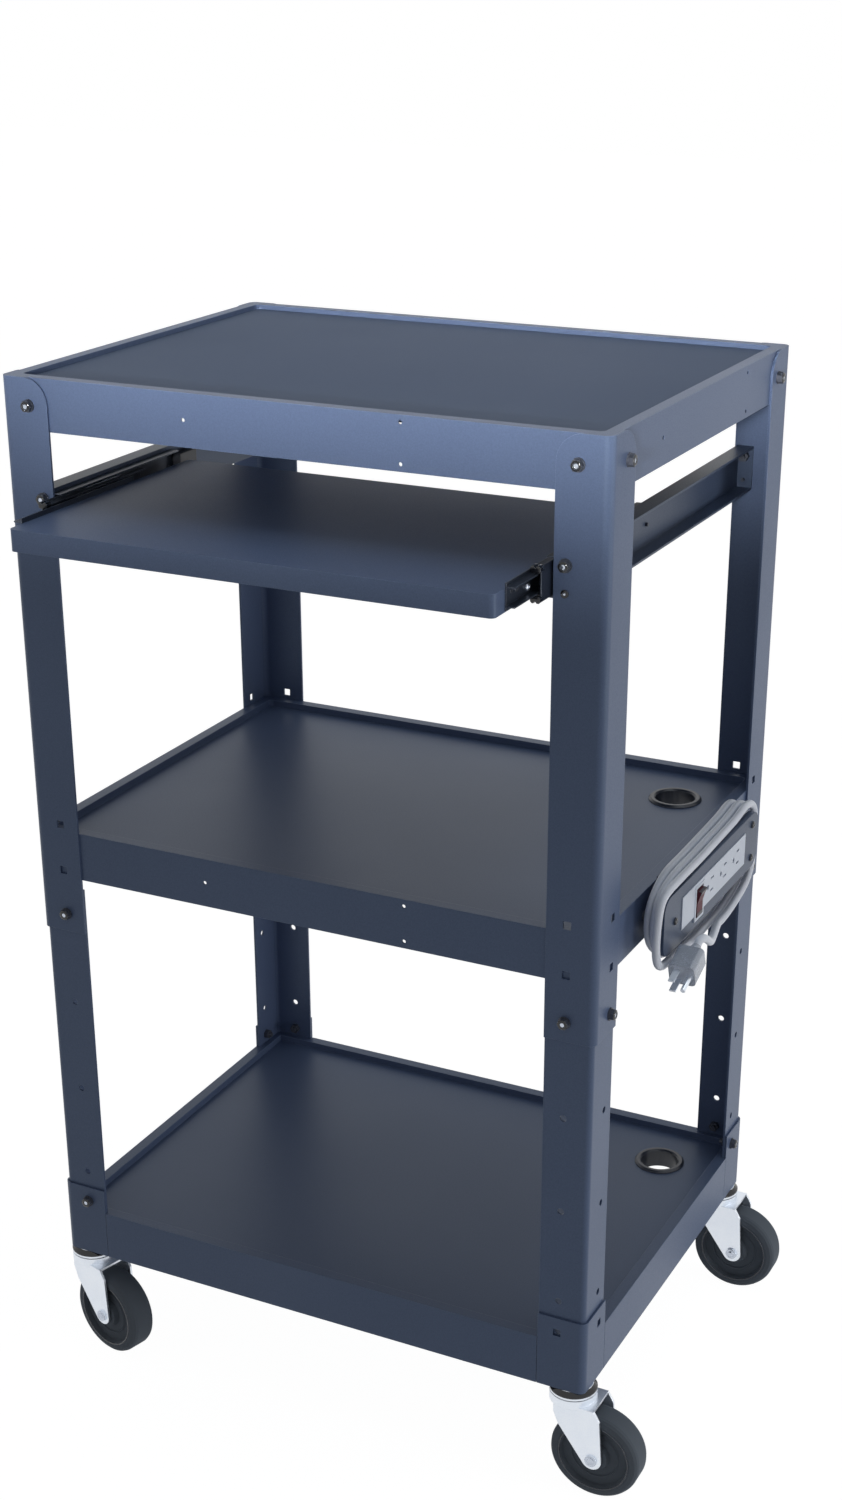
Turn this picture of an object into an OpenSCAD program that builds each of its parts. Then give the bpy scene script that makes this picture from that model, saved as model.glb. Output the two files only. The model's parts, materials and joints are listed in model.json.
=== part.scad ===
// Rolling equipment cart: folded sheet-steel trays on slotted angle legs, with a sliding
// keyboard shelf, a power strip with its cord wound on it, and four swivel casters.
// Millimetres, +Z up, X along the front, front toward -Y, origin on the floor at the centre.

/* [Overall] */
// Width over the legs
cart_w = 609.6; // [560:0.1:700]
// Depth over the legs
cart_d = 457.2; // [440:0.1:560]
// Height of the top rim above the floor
cart_h = 1066.8; // [1040:0.1:1140]

/* [Legs] */
// Width of each leg flange
leg_flange = 50.8; // [46:0.1:60]
// Steel thickness of the legs
leg_steel = 2.4; // [1.8:0.1:3]
// Outside radius of the leg fold
leg_fold = 8; // [6:0.1:12]
// Radius of the trimmed top corners of the upper legs
leg_trim = 25; // [10:0.5:32]
// Length of an upper leg
upper_leg_l = 558.8; // [540:0.1:580]
// Length by which the lower leg reaches up inside the upper leg
leg_lap = 48; // [40:0.5:52]
// Height step between the adjusting holes
hole_step = 101.6; // [80:0.1:110]
// Number of spare adjusting holes below the leg joint
spare_holes = 3; // [1:1:3]
// Diameter of the round adjusting holes
leg_hole_d = 6.8; // [6.4:0.1:8]
// Side of the square holes
square_hole = 8; // [6.4:0.1:9]
// Distance of the front and back holes from the leg edge
hole_in_front = 30.3; // [24:0.1:33]
// Distance of the side holes from the leg edge
hole_in_side = 34.6; // [24:0.1:36]
// Height of the leg joint bolts above the upper leg's lower end
joint_up = 19.6; // [15:0.1:28]
// Height of the lower square holes above the leg joint bolts
square_up = 47.9; // [44:0.1:55]
// Spacing between the two square holes
square_pitch = 49.5; // [40:0.1:60]
// Depth of the top bolts below the rim
top_bolt_drop = 25.8; // [20:0.1:34]

/* [Corner sockets] */
// Height of a corner socket
socket_h = 81.8; // [70:0.1:90]
// Steel thickness of a corner socket
socket_steel = 2; // [1.4:0.1:2.2]
// Height of the socket bolts above the socket's lower edge
socket_bolt_up = 65.2; // [55:0.1:70]
// Width of the seam beside a socket
socket_seam = 0.6; // [0.3:0.1:1.5]

/* [Trays] */
// Sheet thickness of the trays
tray_sheet = 1.6; // [1:0.1:2]
// Width of the raised rim of a tray
rim_w = 12; // [9:0.5:16]
// Depth of the deck below the rim
deck_drop = 7.5; // [5:0.5:11]
// Skirt height of the top tray
top_skirt = 49; // [44:0.1:58]
// Skirt height of the middle tray
middle_skirt = 50.2; // [44:0.1:54]
// Height of the middle tray's rim above the upper legs' lower end
middle_up = 109.4; // [106:0.1:113]
// Height of the bottom tray's rim above the floor
bottom_z = 176.3; // [172:0.1:182]
// Distance of the fixing holes from the middle of a skirt
fixing_off = 108.8; // [90:0.1:116]
// Half spacing of the paired fixing holes
fixing_half = 18; // [12:0.1:19]
// Diameter of the fixing holes
fixing_d = 3.8; // [3.4:0.1:4.4]
// Thickness of the rubber mat
mat_t = 3; // [1.5:0.1:4]
// Gap between the mat and the rim
mat_gap = 0.8; // [0.4:0.1:3]

/* [Grommets] */
// Flange diameter of a cable grommet
grommet_d = 55; // [48:0.5:60]
// Bore of a cable grommet
grommet_bore = 41; // [34:0.5:42]
// Wall of the grommet's sleeve
grommet_wall = 2.5; // [1.5:0.1:3]
// Height of the grommet's flange
grommet_lip = 3; // [2:0.1:4]
// Length of the grommet's sleeve below the deck
grommet_sleeve = 18; // [9:0.5:19]
// Distance of the middle grommet from the right side of the cart
middle_grommet_in = 66.8; // [60:0.1:90]
// Distance of the middle grommet from the back of the cart
middle_grommet_back = 86.6; // [62:0.1:110]
// Distance of the bottom grommet from the right side of the cart
bottom_grommet_in = 68.8; // [60:0.1:90]
// Distance of the bottom grommet from the back of the cart
bottom_grommet_back = 77.6; // [62:0.1:110]

/* [Keyboard shelf] */
// Depth of the keyboard shelf
shelf_d = 305; // [285:0.5:340]
// Skirt height of the keyboard shelf
shelf_skirt = 20.5; // [20:0.1:28]
// Outside radius of the shelf's corners
shelf_corner = 5; // [2:0.5:9]
// Depth of the shelf's top face below the cart's rim
shelf_drop = 116.6; // [112:0.1:130]
// Distance by which the shelf stands out in front of the legs
shelf_out = 89.6; // [60:0.1:100]
// Distance between the shelf and the rail that carries its slide
slide_space = 16; // [14.5:0.1:18]

/* [Side rails] */
// Distance of a rail's web from the cart's side
rail_in = 48.1; // [47:0.1:50]
// Height of a side rail
rail_h = 43.6; // [42:0.1:48]
// Depth of a side rail's flanges
rail_flange = 17.2; // [15:0.1:19]
// Steel thickness of a side rail
rail_steel = 2; // [1.4:0.1:2.4]
// Height of the upper rail bolt above the rail's middle
rail_bolt_up = 12.2; // [10:0.1:13]
// Distance of the rail bolts from the leg edge
rail_bolt_in = 39.8; // [38:0.1:41]
// Length of a stop block
stop_l = 30; // [20:0.5:36]
// Height of a stop block
stop_h = 27; // [18:0.5:30]

/* [Ball slides] */
// Length of a slide
slide_l = 204; // [195:0.5:215]
// Length of a slide's inner member
slide_inner_l = 183; // [180:0.5:186]
// Length of a slide's middle member
slide_middle_l = 164; // [150:0.5:180]
// Height of a slide's outer member
slide_h = 36; // [34:0.1:38]
// Steel thickness of a slide's members
slide_steel = 1.2; // [1:0.05:1.4]
// Diameter of the slide's balls
slide_ball_d = 2.6; // [2:0.05:2.8]
// Play between a ball and the next member
ball_play = 0.4; // [0.3:0.05:0.6]
// Spacing of the balls in a cage
ball_pitch = 12.5; // [10:0.1:15]
// Number of balls in a cage row
ball_count = 5; // [3:1:6]
// Thickness of a ball cage
cage_t = 0.8; // [0.5:0.05:1]

/* [Power strip] */
// Reach of the power strip's face past its screws
strip_end = 23.2; // [19:0.1:26]
// Height of the power strip
strip_h = 59; // [57:0.5:62]
// Depth of the power strip
strip_d = 31.1; // [28:0.1:38]
// Wall thickness of the power strip
strip_wall = 1.5; // [1:0.1:2]
// Corner radius of the power strip's face
strip_corner = 14; // [8:0.5:16]
// Depth of the power strip's face, past the ends of its body
strip_pan = 7; // [6:0.5:7.5]
// Front end of the power strip's body before the cart's middle
strip_body_front = 78; // [72:0.5:84]
// Back end of the power strip's body behind the cart's middle
strip_body_back = 84; // [80:0.5:88]
// Diameter of the spacers behind the power strip's face
spacer_d = 9; // [7:0.5:9.5]
// Distance of the strip's middle in front of the cart's middle
strip_shift = 5; // [4:0.5:6]
// Length of the outlet plate
plate_l = 178.8; // [172:0.1:190]
// Height of the outlet plate
plate_h = 33.5; // [32:0.1:36]
// Distance of the outlet plate's middle in front of the cart's middle
plate_shift = 1.9; // [0:0.1:5]
// Distance by which the outlet plate stands proud
plate_proud = 0.8; // [0.4:0.1:1.5]
// Thickness of the outlet plate
plate_t = 3; // [2:0.1:4]
// Number of outlets
outlet_count = 3; // [1:1:3]
// Spacing of the outlets
outlet_pitch = 37; // [31:0.5:38]
// Side of an outlet's insert
outlet_size = 29; // [27:0.5:30]
// Depth of an outlet's insert
outlet_depth = 14; // [10:0.5:18]

/* [Rocker switch] */
// Distance of the rocker from the cart's middle, toward the front
rocker_off = 45; // [43:0.5:50]
// Height of the rocker
rocker_h = 27; // [20:0.5:28]
// Width of the rocker
rocker_w = 15; // [12:0.5:16]
// Border of the switch frame round the rocker
rocker_border = 3.2; // [2:0.1:4]
// Tilt of the rocker at each end of its travel
rocker_tilt = 8; // [4:0.5:10]

/* [Bolts] */
// Diameter of the bolts
bolt_d = 6; // [5:0.1:6.2]
// Width across the flats of a bolt head
bolt_head = 10; // [9:0.5:10.5]
// Height of the hexagonal part of a bolt head
bolt_head_h = 3.8; // [3:0.1:5]
// Height of the washer under a bolt head
bolt_flange_h = 1.6; // [1:0.1:2.4]
// Diameter of the washer under a bolt head
bolt_flange_d = 12.5; // [12.5:0.5:15]
// Length of a bolt's shank
bolt_l = 13; // [12:0.5:16]
// Width across the flats of a nut
nut_w = 10; // [9:0.5:11]
// Height of a nut
nut_h = 5; // [4:0.1:6]
// Diameter of the small screws
screw_d = 3.6; // [3:0.1:3.8]
// Diameter of a small screw's head
screw_head = 7.5; // [6:0.1:8.5]
// Height of a small screw's head
screw_head_h = 1.3; // [1:0.05:1.6]

/* [Casters] */
// Diameter of a wheel
wheel_d = 95; // [84:0.5:98]
// Width of a wheel
wheel_w = 30; // [26:0.5:31]
// Distance of the axle behind the swivel
caster_trail = 29; // [22:0.5:34]
// Distance of the swivel from the cart's side
swivel_in_side = 19; // [18.5:0.1:25]
// Distance of the swivel from the cart's front or back
swivel_in_front = 20; // [18.5:0.1:25]
// Height of the sockets' lower edge above the floor
deck_base_z = 122.2; // [121:0.1:124]
// Diameter of the caster's race
race_d = 48; // [42:0.5:50]
// Height of the upper race
race_h = 8.2; // [7:0.1:9]
// Width over the fork
fork_w = 40; // [38:0.5:44]
// Steel thickness of the fork
fork_steel = 2.5; // [1.8:0.1:3]
// Height of the fork's top face above the floor
fork_z = 106; // [104:0.1:107]
// Diameter of the race balls
race_ball_d = 5; // [4:0.1:5.2]
// Number of balls in a race
race_balls = 6; // [4:1:12]
// Diameter of the axle
axle_d = 8; // [6:0.1:9]
// Diameter of the swivel pin
kingpin_d = 10; // [8:0.1:11]
// Swivel angle of the front-left caster
front_left_angle = -15; // [-60:1:60]

/* [Cord] */
// Diameter of the cord
cord_d = 8; // [6:0.1:8.2]
// Spacing between neighbouring loops of the winding
layer_pitch = 8.9; // [8.8:0.05:9]
// Length of the cord's strain relief
relief_l = 20; // [16:0.5:24]
// Diameter of the strain relief at the strip
relief_d = 11.6; // [10:0.1:12]
// Length of the plug's body
plug_l = 28; // [24:0.5:32]
// Width of the plug's body
plug_w = 26; // [22:0.5:28]
// Height of the plug's body
plug_h = 24; // [20:0.5:26]
// Length of the plug's blades
blade_l = 16; // [12:0.1:18]

/* [Hidden] */
$fn = 48;

// Overrun of every cut
over = 1;
// Play of a shaft in its bore
shaft_play = 0.08;
// Play between pieces that are bolted together through a hole
hole_play = 0.3;
// Colours of the finishes
steel_paint = [0.25, 0.29, 0.36];
leg_paint = [0.23, 0.27, 0.34];
dark_paint = [0.16, 0.19, 0.24];
rubber_black = [0.10, 0.11, 0.13];
bare_steel = [0.80, 0.82, 0.86];

half_w = cart_w / 2;
half_d = cart_d / 2;
leg_foot = cart_h - upper_leg_l;
middle_z = leg_foot + middle_up;
joint_z = leg_foot + joint_up;
square_z = joint_z + square_up;
top_bolt_z = cart_h - top_bolt_drop;
lower_fold = leg_fold - leg_steel;
nest = leg_steel * 2;
socket_gap = leg_steel - socket_steel;
socket_bolt_z = deck_base_z + socket_bolt_up;
inner_w = half_w - leg_steel;
inner_d = half_d - leg_steel;
shelf_top = cart_h - shelf_drop;
shelf_front = half_d + shelf_out;
rail_web = half_w - rail_in;
shelf_w = 2 * (rail_web - slide_space);
// Height of the slides' middle above the middle of the shelf's skirt
slide_rise = 2.9;
rail_z = shelf_top - shelf_skirt / 2 + slide_rise;

// Shared shapes

// Mirrors a corner's pieces to the right and to the back
module quarter(right, back) {
  mirror([right, 0, 0]) mirror([0, back, 0]) children();
}

// Puts a corner's pieces at the outer edge of the front-left leg
module corner(right, back) {
  quarter(right, back) translate([-half_w, -half_d, 0]) children();
}

// Square with its corner at the origin rounded
module corner_square(size, r) {
  union() {
    translate([r, 0]) square([size - r, size]);
    translate([0, r]) square([size, size - r]);
    translate([r, r]) circle(r = r);
  }
}

// Folded angle in plan, its outer corner at the origin
module angle_plan(flange, wall, fold) {
  difference() {
    corner_square(flange, fold);
    translate([wall, wall]) corner_square(flange, fold - wall);
  }
}

// Rectangle round the origin with round corners
module round_plan(w, d, r) {
  union() {
    square([w - 2 * r, d], center = true);
    square([w, d - 2 * r], center = true);
    for (sx = [-1, 1])
      for (sy = [-1, 1])
        translate([sx * (w / 2 - r), sy * (d / 2 - r)]) circle(r = r);
  }
}

// Hole through a front flange, its axis along Y
module front_hole(x, z, d, depth) {
  translate([x, -over, z]) rotate([-90, 0, 0]) cylinder(d = d, h = depth + 2 * over, $fn = 24);
}

// Hole through a side flange, its axis along X
module side_hole(y, z, d, depth) {
  translate([-over, y, z]) rotate([0, 90, 0]) cylinder(d = d, h = depth + 2 * over, $fn = 24);
}

// Legs

module upper_leg(right, back) {
  color(leg_paint) corner(right, back) difference() {
    translate([0, 0, leg_foot])
      linear_extrude(upper_leg_l) angle_plan(leg_flange, leg_steel, leg_fold);
    // rounded top corner of the front flange
    translate([leg_flange - leg_trim, -over, cart_h - leg_trim])
      difference() {
        cube([leg_trim + over, leg_steel + 2 * over, leg_trim + over]);
        translate([0, -over, 0]) rotate([-90, 0, 0]) cylinder(r = leg_trim, h = leg_steel + 4 * over);
      }
    // rounded top corner of the side flange
    translate([-over, leg_flange - leg_trim, cart_h - leg_trim])
      difference() {
        cube([leg_steel + 2 * over, leg_trim + over, leg_trim + over]);
        translate([-over, 0, 0]) rotate([0, 90, 0]) cylinder(r = leg_trim, h = leg_steel + 4 * over);
      }
    for (z = [top_bolt_z, joint_z]) {
      front_hole(hole_in_front, z, bolt_d + hole_play, leg_steel);
      side_hole(hole_in_side, z, bolt_d + hole_play, leg_steel);
    }
    for (z = [square_z, square_z + square_pitch]) {
      translate([hole_in_front - square_hole / 2, -over, z - square_hole / 2])
        cube([square_hole, leg_steel + 2 * over, square_hole]);
      translate([-over, hole_in_side - square_hole / 2, z - square_hole / 2])
        cube([leg_steel + 2 * over, square_hole, square_hole]);
    }
    front_hole(rail_bolt_in, rail_z + rail_bolt_up, bolt_d + hole_play, leg_steel);
    front_hole(rail_bolt_in, rail_z - rail_bolt_up, screw_d + hole_play, leg_steel);
  }
}

module lower_leg(right, back) {
  color(leg_paint) corner(right, back) difference() {
    translate([leg_steel, leg_steel, deck_base_z + socket_steel])
      linear_extrude(leg_foot + leg_lap - deck_base_z - socket_steel)
        angle_plan(leg_flange - leg_steel, leg_steel, lower_fold);
    for (k = [0 : spare_holes]) {
      front_hole(hole_in_front, joint_z - k * hole_step, k == 0 ? bolt_d + hole_play : leg_hole_d, nest);
      side_hole(hole_in_side, joint_z - k * hole_step, k == 0 ? bolt_d + hole_play : leg_hole_d, nest);
    }
    front_hole(hole_in_front, socket_bolt_z, bolt_d + hole_play, nest);
    side_hole(hole_in_side, socket_bolt_z, bolt_d + hole_play, nest);
  }
}

// Corner sockets

module corner_socket(right, back) {
  color(steel_paint) corner(right, back) difference() {
    union() {
      translate([0, 0, deck_base_z])
        linear_extrude(socket_h) angle_plan(leg_flange, socket_steel, leg_fold);
      translate([0, 0, deck_base_z])
        linear_extrude(socket_steel) corner_square(leg_flange, leg_fold);
    }
    translate([hole_in_front - square_hole / 2, -over, socket_bolt_z - square_hole / 2])
      cube([square_hole, socket_steel + 2 * over, square_hole]);
    translate([-over, hole_in_side - square_hole / 2, socket_bolt_z - square_hole / 2])
      cube([socket_steel + 2 * over, square_hole, square_hole]);
    translate([swivel_in_side, swivel_in_front, deck_base_z - over])
      cylinder(d = kingpin_d + hole_play, h = socket_steel + 2 * over);
  }
}

// Trays

// Small fixing holes of one skirt, seen along +Y with the skirt's outer face at y = 0
module fixing_holes(z) {
  for (spot = [[-fixing_off, 0], [fixing_off, fixing_half], [fixing_off, -fixing_half]])
    translate([spot[0], -over, z + spot[1]])
      rotate([-90, 0, 0]) cylinder(d = fixing_d, h = tray_sheet + 2 * over, $fn = 16);
}

// Fixing holes of all four skirts of a tray of the given half sizes
module skirt_holes(hw, hd, z) {
  translate([0, -hd, 0]) fixing_holes(z);
  rotate([0, 0, 180]) translate([0, -hd, 0]) fixing_holes(z);
  rotate([0, 0, 90]) translate([0, -hw, 0]) fixing_holes(z);
  rotate([0, 0, -90]) translate([0, -hw, 0]) fixing_holes(z);
}

// Folded tray inside the legs: skirts, rim, lip and deck, with its top at z = 0
module inner_tray(skirt) {
  w = 2 * inner_w;
  d = 2 * inner_d;
  pan_w = w - 2 * rim_w;
  pan_d = d - 2 * rim_w;
  pan_r = lower_fold;
  difference() {
    translate([0, 0, -skirt]) linear_extrude(skirt) round_plan(w, d, lower_fold);
    // inside of the skirt, below the rim
    translate([0, 0, -skirt - over]) linear_extrude(skirt - tray_sheet + over)
      difference() {
        round_plan(w - 2 * tray_sheet, d - 2 * tray_sheet, lower_fold - tray_sheet);
        round_plan(pan_w + 2 * tray_sheet, pan_d + 2 * tray_sheet, pan_r + tray_sheet);
      }
    // pan above the deck
    translate([0, 0, -deck_drop]) linear_extrude(deck_drop + over) round_plan(pan_w, pan_d, pan_r);
    // space under the deck
    translate([0, 0, -skirt - over]) linear_extrude(skirt + over - deck_drop - tray_sheet)
      round_plan(pan_w + 2 * tray_sheet, pan_d + 2 * tray_sheet, pan_r + tray_sheet);
    skirt_holes(inner_w, inner_d, -skirt / 2);
  }
}

// Bolt holes of the top tray, through its skirts
module top_tray_bolt_holes() {
  for (right = [0, 1])
    for (back = [0, 1])
      corner(right, back) {
        front_hole(hole_in_front, top_bolt_z, bolt_d + hole_play, leg_steel + tray_sheet);
        side_hole(hole_in_side, top_bolt_z, bolt_d + hole_play, leg_steel + tray_sheet);
      }
}

module top_tray() {
  color(steel_paint) difference() {
    translate([0, 0, cart_h]) inner_tray(top_skirt);
    top_tray_bolt_holes();
  }
}

module top_mat() {
  color(rubber_black) translate([0, 0, cart_h - deck_drop])
    linear_extrude(mat_t)
      round_plan(2 * (inner_w - rim_w - mat_gap), 2 * (inner_d - rim_w - mat_gap), lower_fold);
}

grommet_hole_d = grommet_bore + 2 * grommet_wall + hole_play;

module middle_tray() {
  color(steel_paint) difference() {
    translate([0, 0, middle_z]) inner_tray(middle_skirt);
    translate([half_w - middle_grommet_in, half_d - middle_grommet_back, middle_z - deck_drop - tray_sheet - over])
      cylinder(d = grommet_hole_d, h = tray_sheet + 2 * over);
  }
}

// Plan of the bottom tray: the outer rectangle less the corners that the sockets take
module bottom_plan() {
  notch = leg_flange + socket_seam;
  difference() {
    square([cart_w, cart_d], center = true);
    for (right = [0, 1])
      for (back = [0, 1])
        corner(right, back) translate([-over, -over]) square([notch + over, notch + over]);
  }
}

// Plan of the tray's corners inside the legs
module bottom_corner_plan() {
  square([cart_w - 2 * nest, cart_d - 2 * nest], center = true);
}

module bottom_tray() {
  skirt = bottom_z - deck_base_z;
  pan_w = cart_w - 2 * rim_w;
  pan_d = cart_d - 2 * rim_w;
  deck_z = bottom_z - deck_drop;
  color(steel_paint) difference() {
    union() {
      // skirts between the sockets
      translate([0, 0, deck_base_z]) linear_extrude(skirt) difference() {
        bottom_plan();
        square([cart_w - 2 * tray_sheet, cart_d - 2 * tray_sheet], center = true);
        corner_reliefs();
      }
      // rim
      translate([0, 0, bottom_z - tray_sheet]) linear_extrude(tray_sheet) difference() {
        union() {
          bottom_plan();
          inside_corners();
        }
        square([pan_w, pan_d], center = true);
      }
      // lip from the rim down to the deck
      translate([0, 0, deck_z - tray_sheet]) linear_extrude(deck_drop + tray_sheet) difference() {
        square([pan_w + 2 * tray_sheet, pan_d + 2 * tray_sheet], center = true);
        square([pan_w, pan_d], center = true);
      }
      // deck
      translate([0, 0, deck_z - tray_sheet]) linear_extrude(tray_sheet)
        square([pan_w + 2 * tray_sheet, pan_d + 2 * tray_sheet], center = true);
    }
    translate([half_w - bottom_grommet_in, half_d - bottom_grommet_back, deck_z - tray_sheet - over])
      cylinder(d = grommet_hole_d, h = tray_sheet + 2 * over);
  }
}

// Room for the legs' flange edges beside the skirts
module corner_reliefs() {
  for (right = [0, 1])
    for (back = [0, 1])
      corner(right, back) square([leg_flange + socket_seam, leg_flange + socket_seam]);
}

// Rim inside the legs at the corners
module inside_corners() {
  for (right = [0, 1])
    for (back = [0, 1])
      corner(right, back)
        translate([nest + hole_play, nest + hole_play])
          corner_square(leg_flange + socket_seam + over - nest - hole_play, lower_fold);
}

// Grommets

module grommet() {
  rotate_extrude() difference() {
    union() {
      translate([grommet_bore / 2, -grommet_sleeve]) square([grommet_wall, grommet_sleeve]);
      translate([grommet_bore / 2, 0]) square([(grommet_d - grommet_bore) / 2, grommet_lip]);
    }
    // chamfer of the flange's outer edge
    translate([grommet_d / 2, grommet_lip]) rotate([0, 0, 45])
      square([grommet_lip, grommet_lip], center = true);
    // chamfer of the bore's upper edge
    translate([grommet_bore / 2, grommet_lip]) rotate([0, 0, 45])
      square([grommet_wall, grommet_wall], center = true);
  }
}

module grommet_middle() {
  color(rubber_black)
    translate([half_w - middle_grommet_in, half_d - middle_grommet_back, middle_z - deck_drop]) grommet();
}

module grommet_bottom() {
  color(rubber_black)
    translate([half_w - bottom_grommet_in, half_d - bottom_grommet_back, bottom_z - deck_drop]) grommet();
}

// Bolts and nuts

// Each spot: right, back, face (0 front, 1 side), distance along the flange, height, stack
top_spots = [for (r = [0, 1]) for (b = [0, 1]) for (f = [0, 1])
  [r, b, f, f == 0 ? hole_in_front : hole_in_side, top_bolt_z, leg_steel + tray_sheet, 0]];
joint_spots = [for (r = [0, 1]) for (b = [0, 1]) for (f = [0, 1])
  [r, b, f, f == 0 ? hole_in_front : hole_in_side, joint_z, nest, 0]];
// The front-right socket carries no bolts
socket_spots = [for (c = [[0, 0], [0, 1], [1, 1]]) for (f = [0, 1])
  [c[0], c[1], f, f == 0 ? hole_in_front : hole_in_side, socket_bolt_z, nest, 0]];
rail_spots = [for (r = [0, 1]) for (b = [0, 1])
  [r, b, 0, rail_bolt_in, rail_z + rail_bolt_up, leg_steel + rail_steel, 0]];
bolt_spots = concat(top_spots, joint_spots, socket_spots, rail_spots);

// Places its children with +Z going in through a flange
module at_spot(spot) {
  corner(spot[0], spot[1]) {
    if (spot[2] == 0) translate([spot[3], 0, spot[4]]) rotate([-90, 0, 0]) children();
    if (spot[2] == 1) translate([0, spot[3], spot[4]]) rotate([0, 90, 0]) children();
  }
}

module frame_bolts() {
  color(rubber_black) for (spot = bolt_spots) at_spot(spot) {
    translate([0, 0, -bolt_flange_h - bolt_head_h])
      cylinder(d = bolt_head / cos(30), h = bolt_head_h, $fn = 6);
    translate([0, 0, -bolt_flange_h]) cylinder(d = bolt_flange_d, h = bolt_flange_h, $fn = 12);
    cylinder(d = bolt_d, h = bolt_l, $fn = 12);
  }
}

module frame_nuts() {
  color(rubber_black) for (spot = bolt_spots) at_spot(spot)
    translate([0, 0, spot[5]]) difference() {
      cylinder(d = nut_w / cos(30), h = nut_h, $fn = 6);
      translate([0, 0, -over]) cylinder(d = bolt_d + shaft_play, h = nut_h + 2 * over, $fn = 12);
    }
}

// Keyboard shelf

module keyboard_shelf() {
  color(dark_paint) translate([0, shelf_d / 2 - shelf_front, shelf_top - shelf_skirt]) difference() {
    linear_extrude(shelf_skirt) round_plan(shelf_w, shelf_d, shelf_corner);
    translate([0, 0, -over]) linear_extrude(shelf_skirt - tray_sheet + over)
      round_plan(shelf_w - 2 * tray_sheet, shelf_d - 2 * tray_sheet, shelf_corner - tray_sheet);
  }
}

// Side rails

rail_l = 2 * inner_d;

// Channel that opens outward, from the front leg to the back leg, with a tab at each end
module side_rail(right) {
  color(dark_paint) mirror([1 - right, 0, 0]) difference() {
    translate([rail_web, -rail_l / 2, rail_z - rail_h / 2]) difference() {
      cube([rail_flange, rail_l, rail_h]);
      translate([rail_steel, rail_steel, rail_steel])
        cube([rail_flange, rail_l - 2 * rail_steel, rail_h - 2 * rail_steel]);
    }
    for (back = [0, 1]) {
      mirror([0, back, 0]) translate([half_w - rail_bolt_in, -half_d, rail_z + rail_bolt_up])
        rotate([-90, 0, 0])
          cylinder(d = bolt_d + hole_play, h = leg_steel + rail_steel + over, $fn = 24);
      mirror([0, back, 0]) translate([half_w - rail_bolt_in, -half_d, rail_z - rail_bolt_up])
        rotate([-90, 0, 0])
          cylinder(d = screw_d + hole_play, h = leg_steel + rail_steel + over, $fn = 24);
    }
    for (y = slide_screw_ys)
      translate([rail_web - over, y, rail_z]) rotate([0, 90, 0])
        cylinder(d = screw_d + hole_play, h = rail_steel + 2 * over, $fn = 24);
  }
}

// Ball slides, described by the distance in from the rail and the height from its middle

slide_front = -inner_d;
// Distance of the slide's screws from its front and back ends
slide_screw_front = 26;
slide_screw_back = 6;
slide_screw_ys = [slide_front + slide_screw_front, slide_front + slide_l - slide_screw_back];
// Set-back of the middle member behind the halfway place of its travel
middle_set = 23.4;
middle_y0 = -half_d - shelf_out / 2 + middle_set;
// Set-back of the inner member behind the shelf's front
inner_set = 21;
ball_room = slide_ball_d + 2 * ball_play;
outer_inside = slide_h / 2 - slide_steel;
middle_outside = outer_inside - ball_room;
middle_inside = middle_outside - slide_steel;
inner_outside = middle_inside - ball_room;
// Room for the screw heads between the outer and the middle member
slide_screw_room = 2.9;
middle_in = slide_screw_room + slide_steel;
// Depths of the members' flanges
middle_reach = 8;
outer_reach = 10;
inner_reach = 9;
// Half height of the inner member's web, against the shelf
inner_web_half = 12;
// Reach of the middle member's web past its flanges
middle_ear = 2.1;
// Middles of the cages with the shelf as it stands
cage_len = ball_pitch * (ball_count - 1) + 2 * slide_ball_d;
cage_outer_mid = -156;
cage_inner_mid = -176;

// Flat bar along Y between two distances in from the rail and two heights
module slide_bar(right, in0, in1, z0, z1, y0, len) {
  mirror([1 - right, 0, 0]) translate([rail_web - in1, y0, rail_z + z0])
    cube([in1 - in0, len, z1 - z0]);
}

// The same bar above and below the slide's middle
module slide_pair(right, in0, in1, z0, z1, y0, len) {
  slide_bar(right, in0, in1, z0, z1, y0, len);
  slide_bar(right, in0, in1, -z1, -z0, y0, len);
}

module slide_outer(right) {
  color(dark_paint) difference() {
    union() {
      slide_bar(right, 0, slide_steel, -slide_h / 2, slide_h / 2, slide_front, slide_l);
      slide_pair(right, 0, outer_reach, outer_inside, slide_h / 2, slide_front, slide_l);
    }
    mirror([1 - right, 0, 0]) for (y = slide_screw_ys)
      translate([rail_web - slide_steel - over, y, rail_z]) rotate([0, 90, 0])
        cylinder(d = screw_d + hole_play, h = slide_steel + 2 * over, $fn = 24);
  }
}

module slide_middle(right) {
  color(bare_steel) union() {
    slide_bar(right, middle_in, middle_in + slide_steel, -middle_outside - middle_ear, middle_outside + middle_ear,
      middle_y0, slide_middle_l);
    slide_pair(right, middle_in, middle_in + middle_reach, middle_inside, middle_outside, middle_y0, slide_middle_l);
  }
}

module slide_inner(right) {
  y0 = -shelf_front + inner_set;
  color(bare_steel) union() {
    slide_bar(right, slide_space - slide_steel, slide_space, -inner_web_half, inner_web_half, y0, slide_inner_l);
    slide_pair(right, slide_space - inner_reach, slide_space, inner_outside - slide_steel, inner_outside,
      y0, slide_inner_l);
  }
}

// One row of balls in its cage, centred at height z, in from the rail by mid
module cage_row(right, mid, z, y0) {
  mirror([1 - right, 0, 0]) union() {
    translate([rail_web - mid - slide_ball_d / 2 - cage_t, y0, rail_z + z - cage_t / 2])
      cube([slide_ball_d + 2 * cage_t, cage_len, cage_t]);
    for (k = [0 : ball_count - 1])
      translate([rail_web - mid, y0 + slide_ball_d + k * ball_pitch, rail_z + z])
        sphere(d = slide_ball_d, $fn = 24);
  }
}

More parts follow.
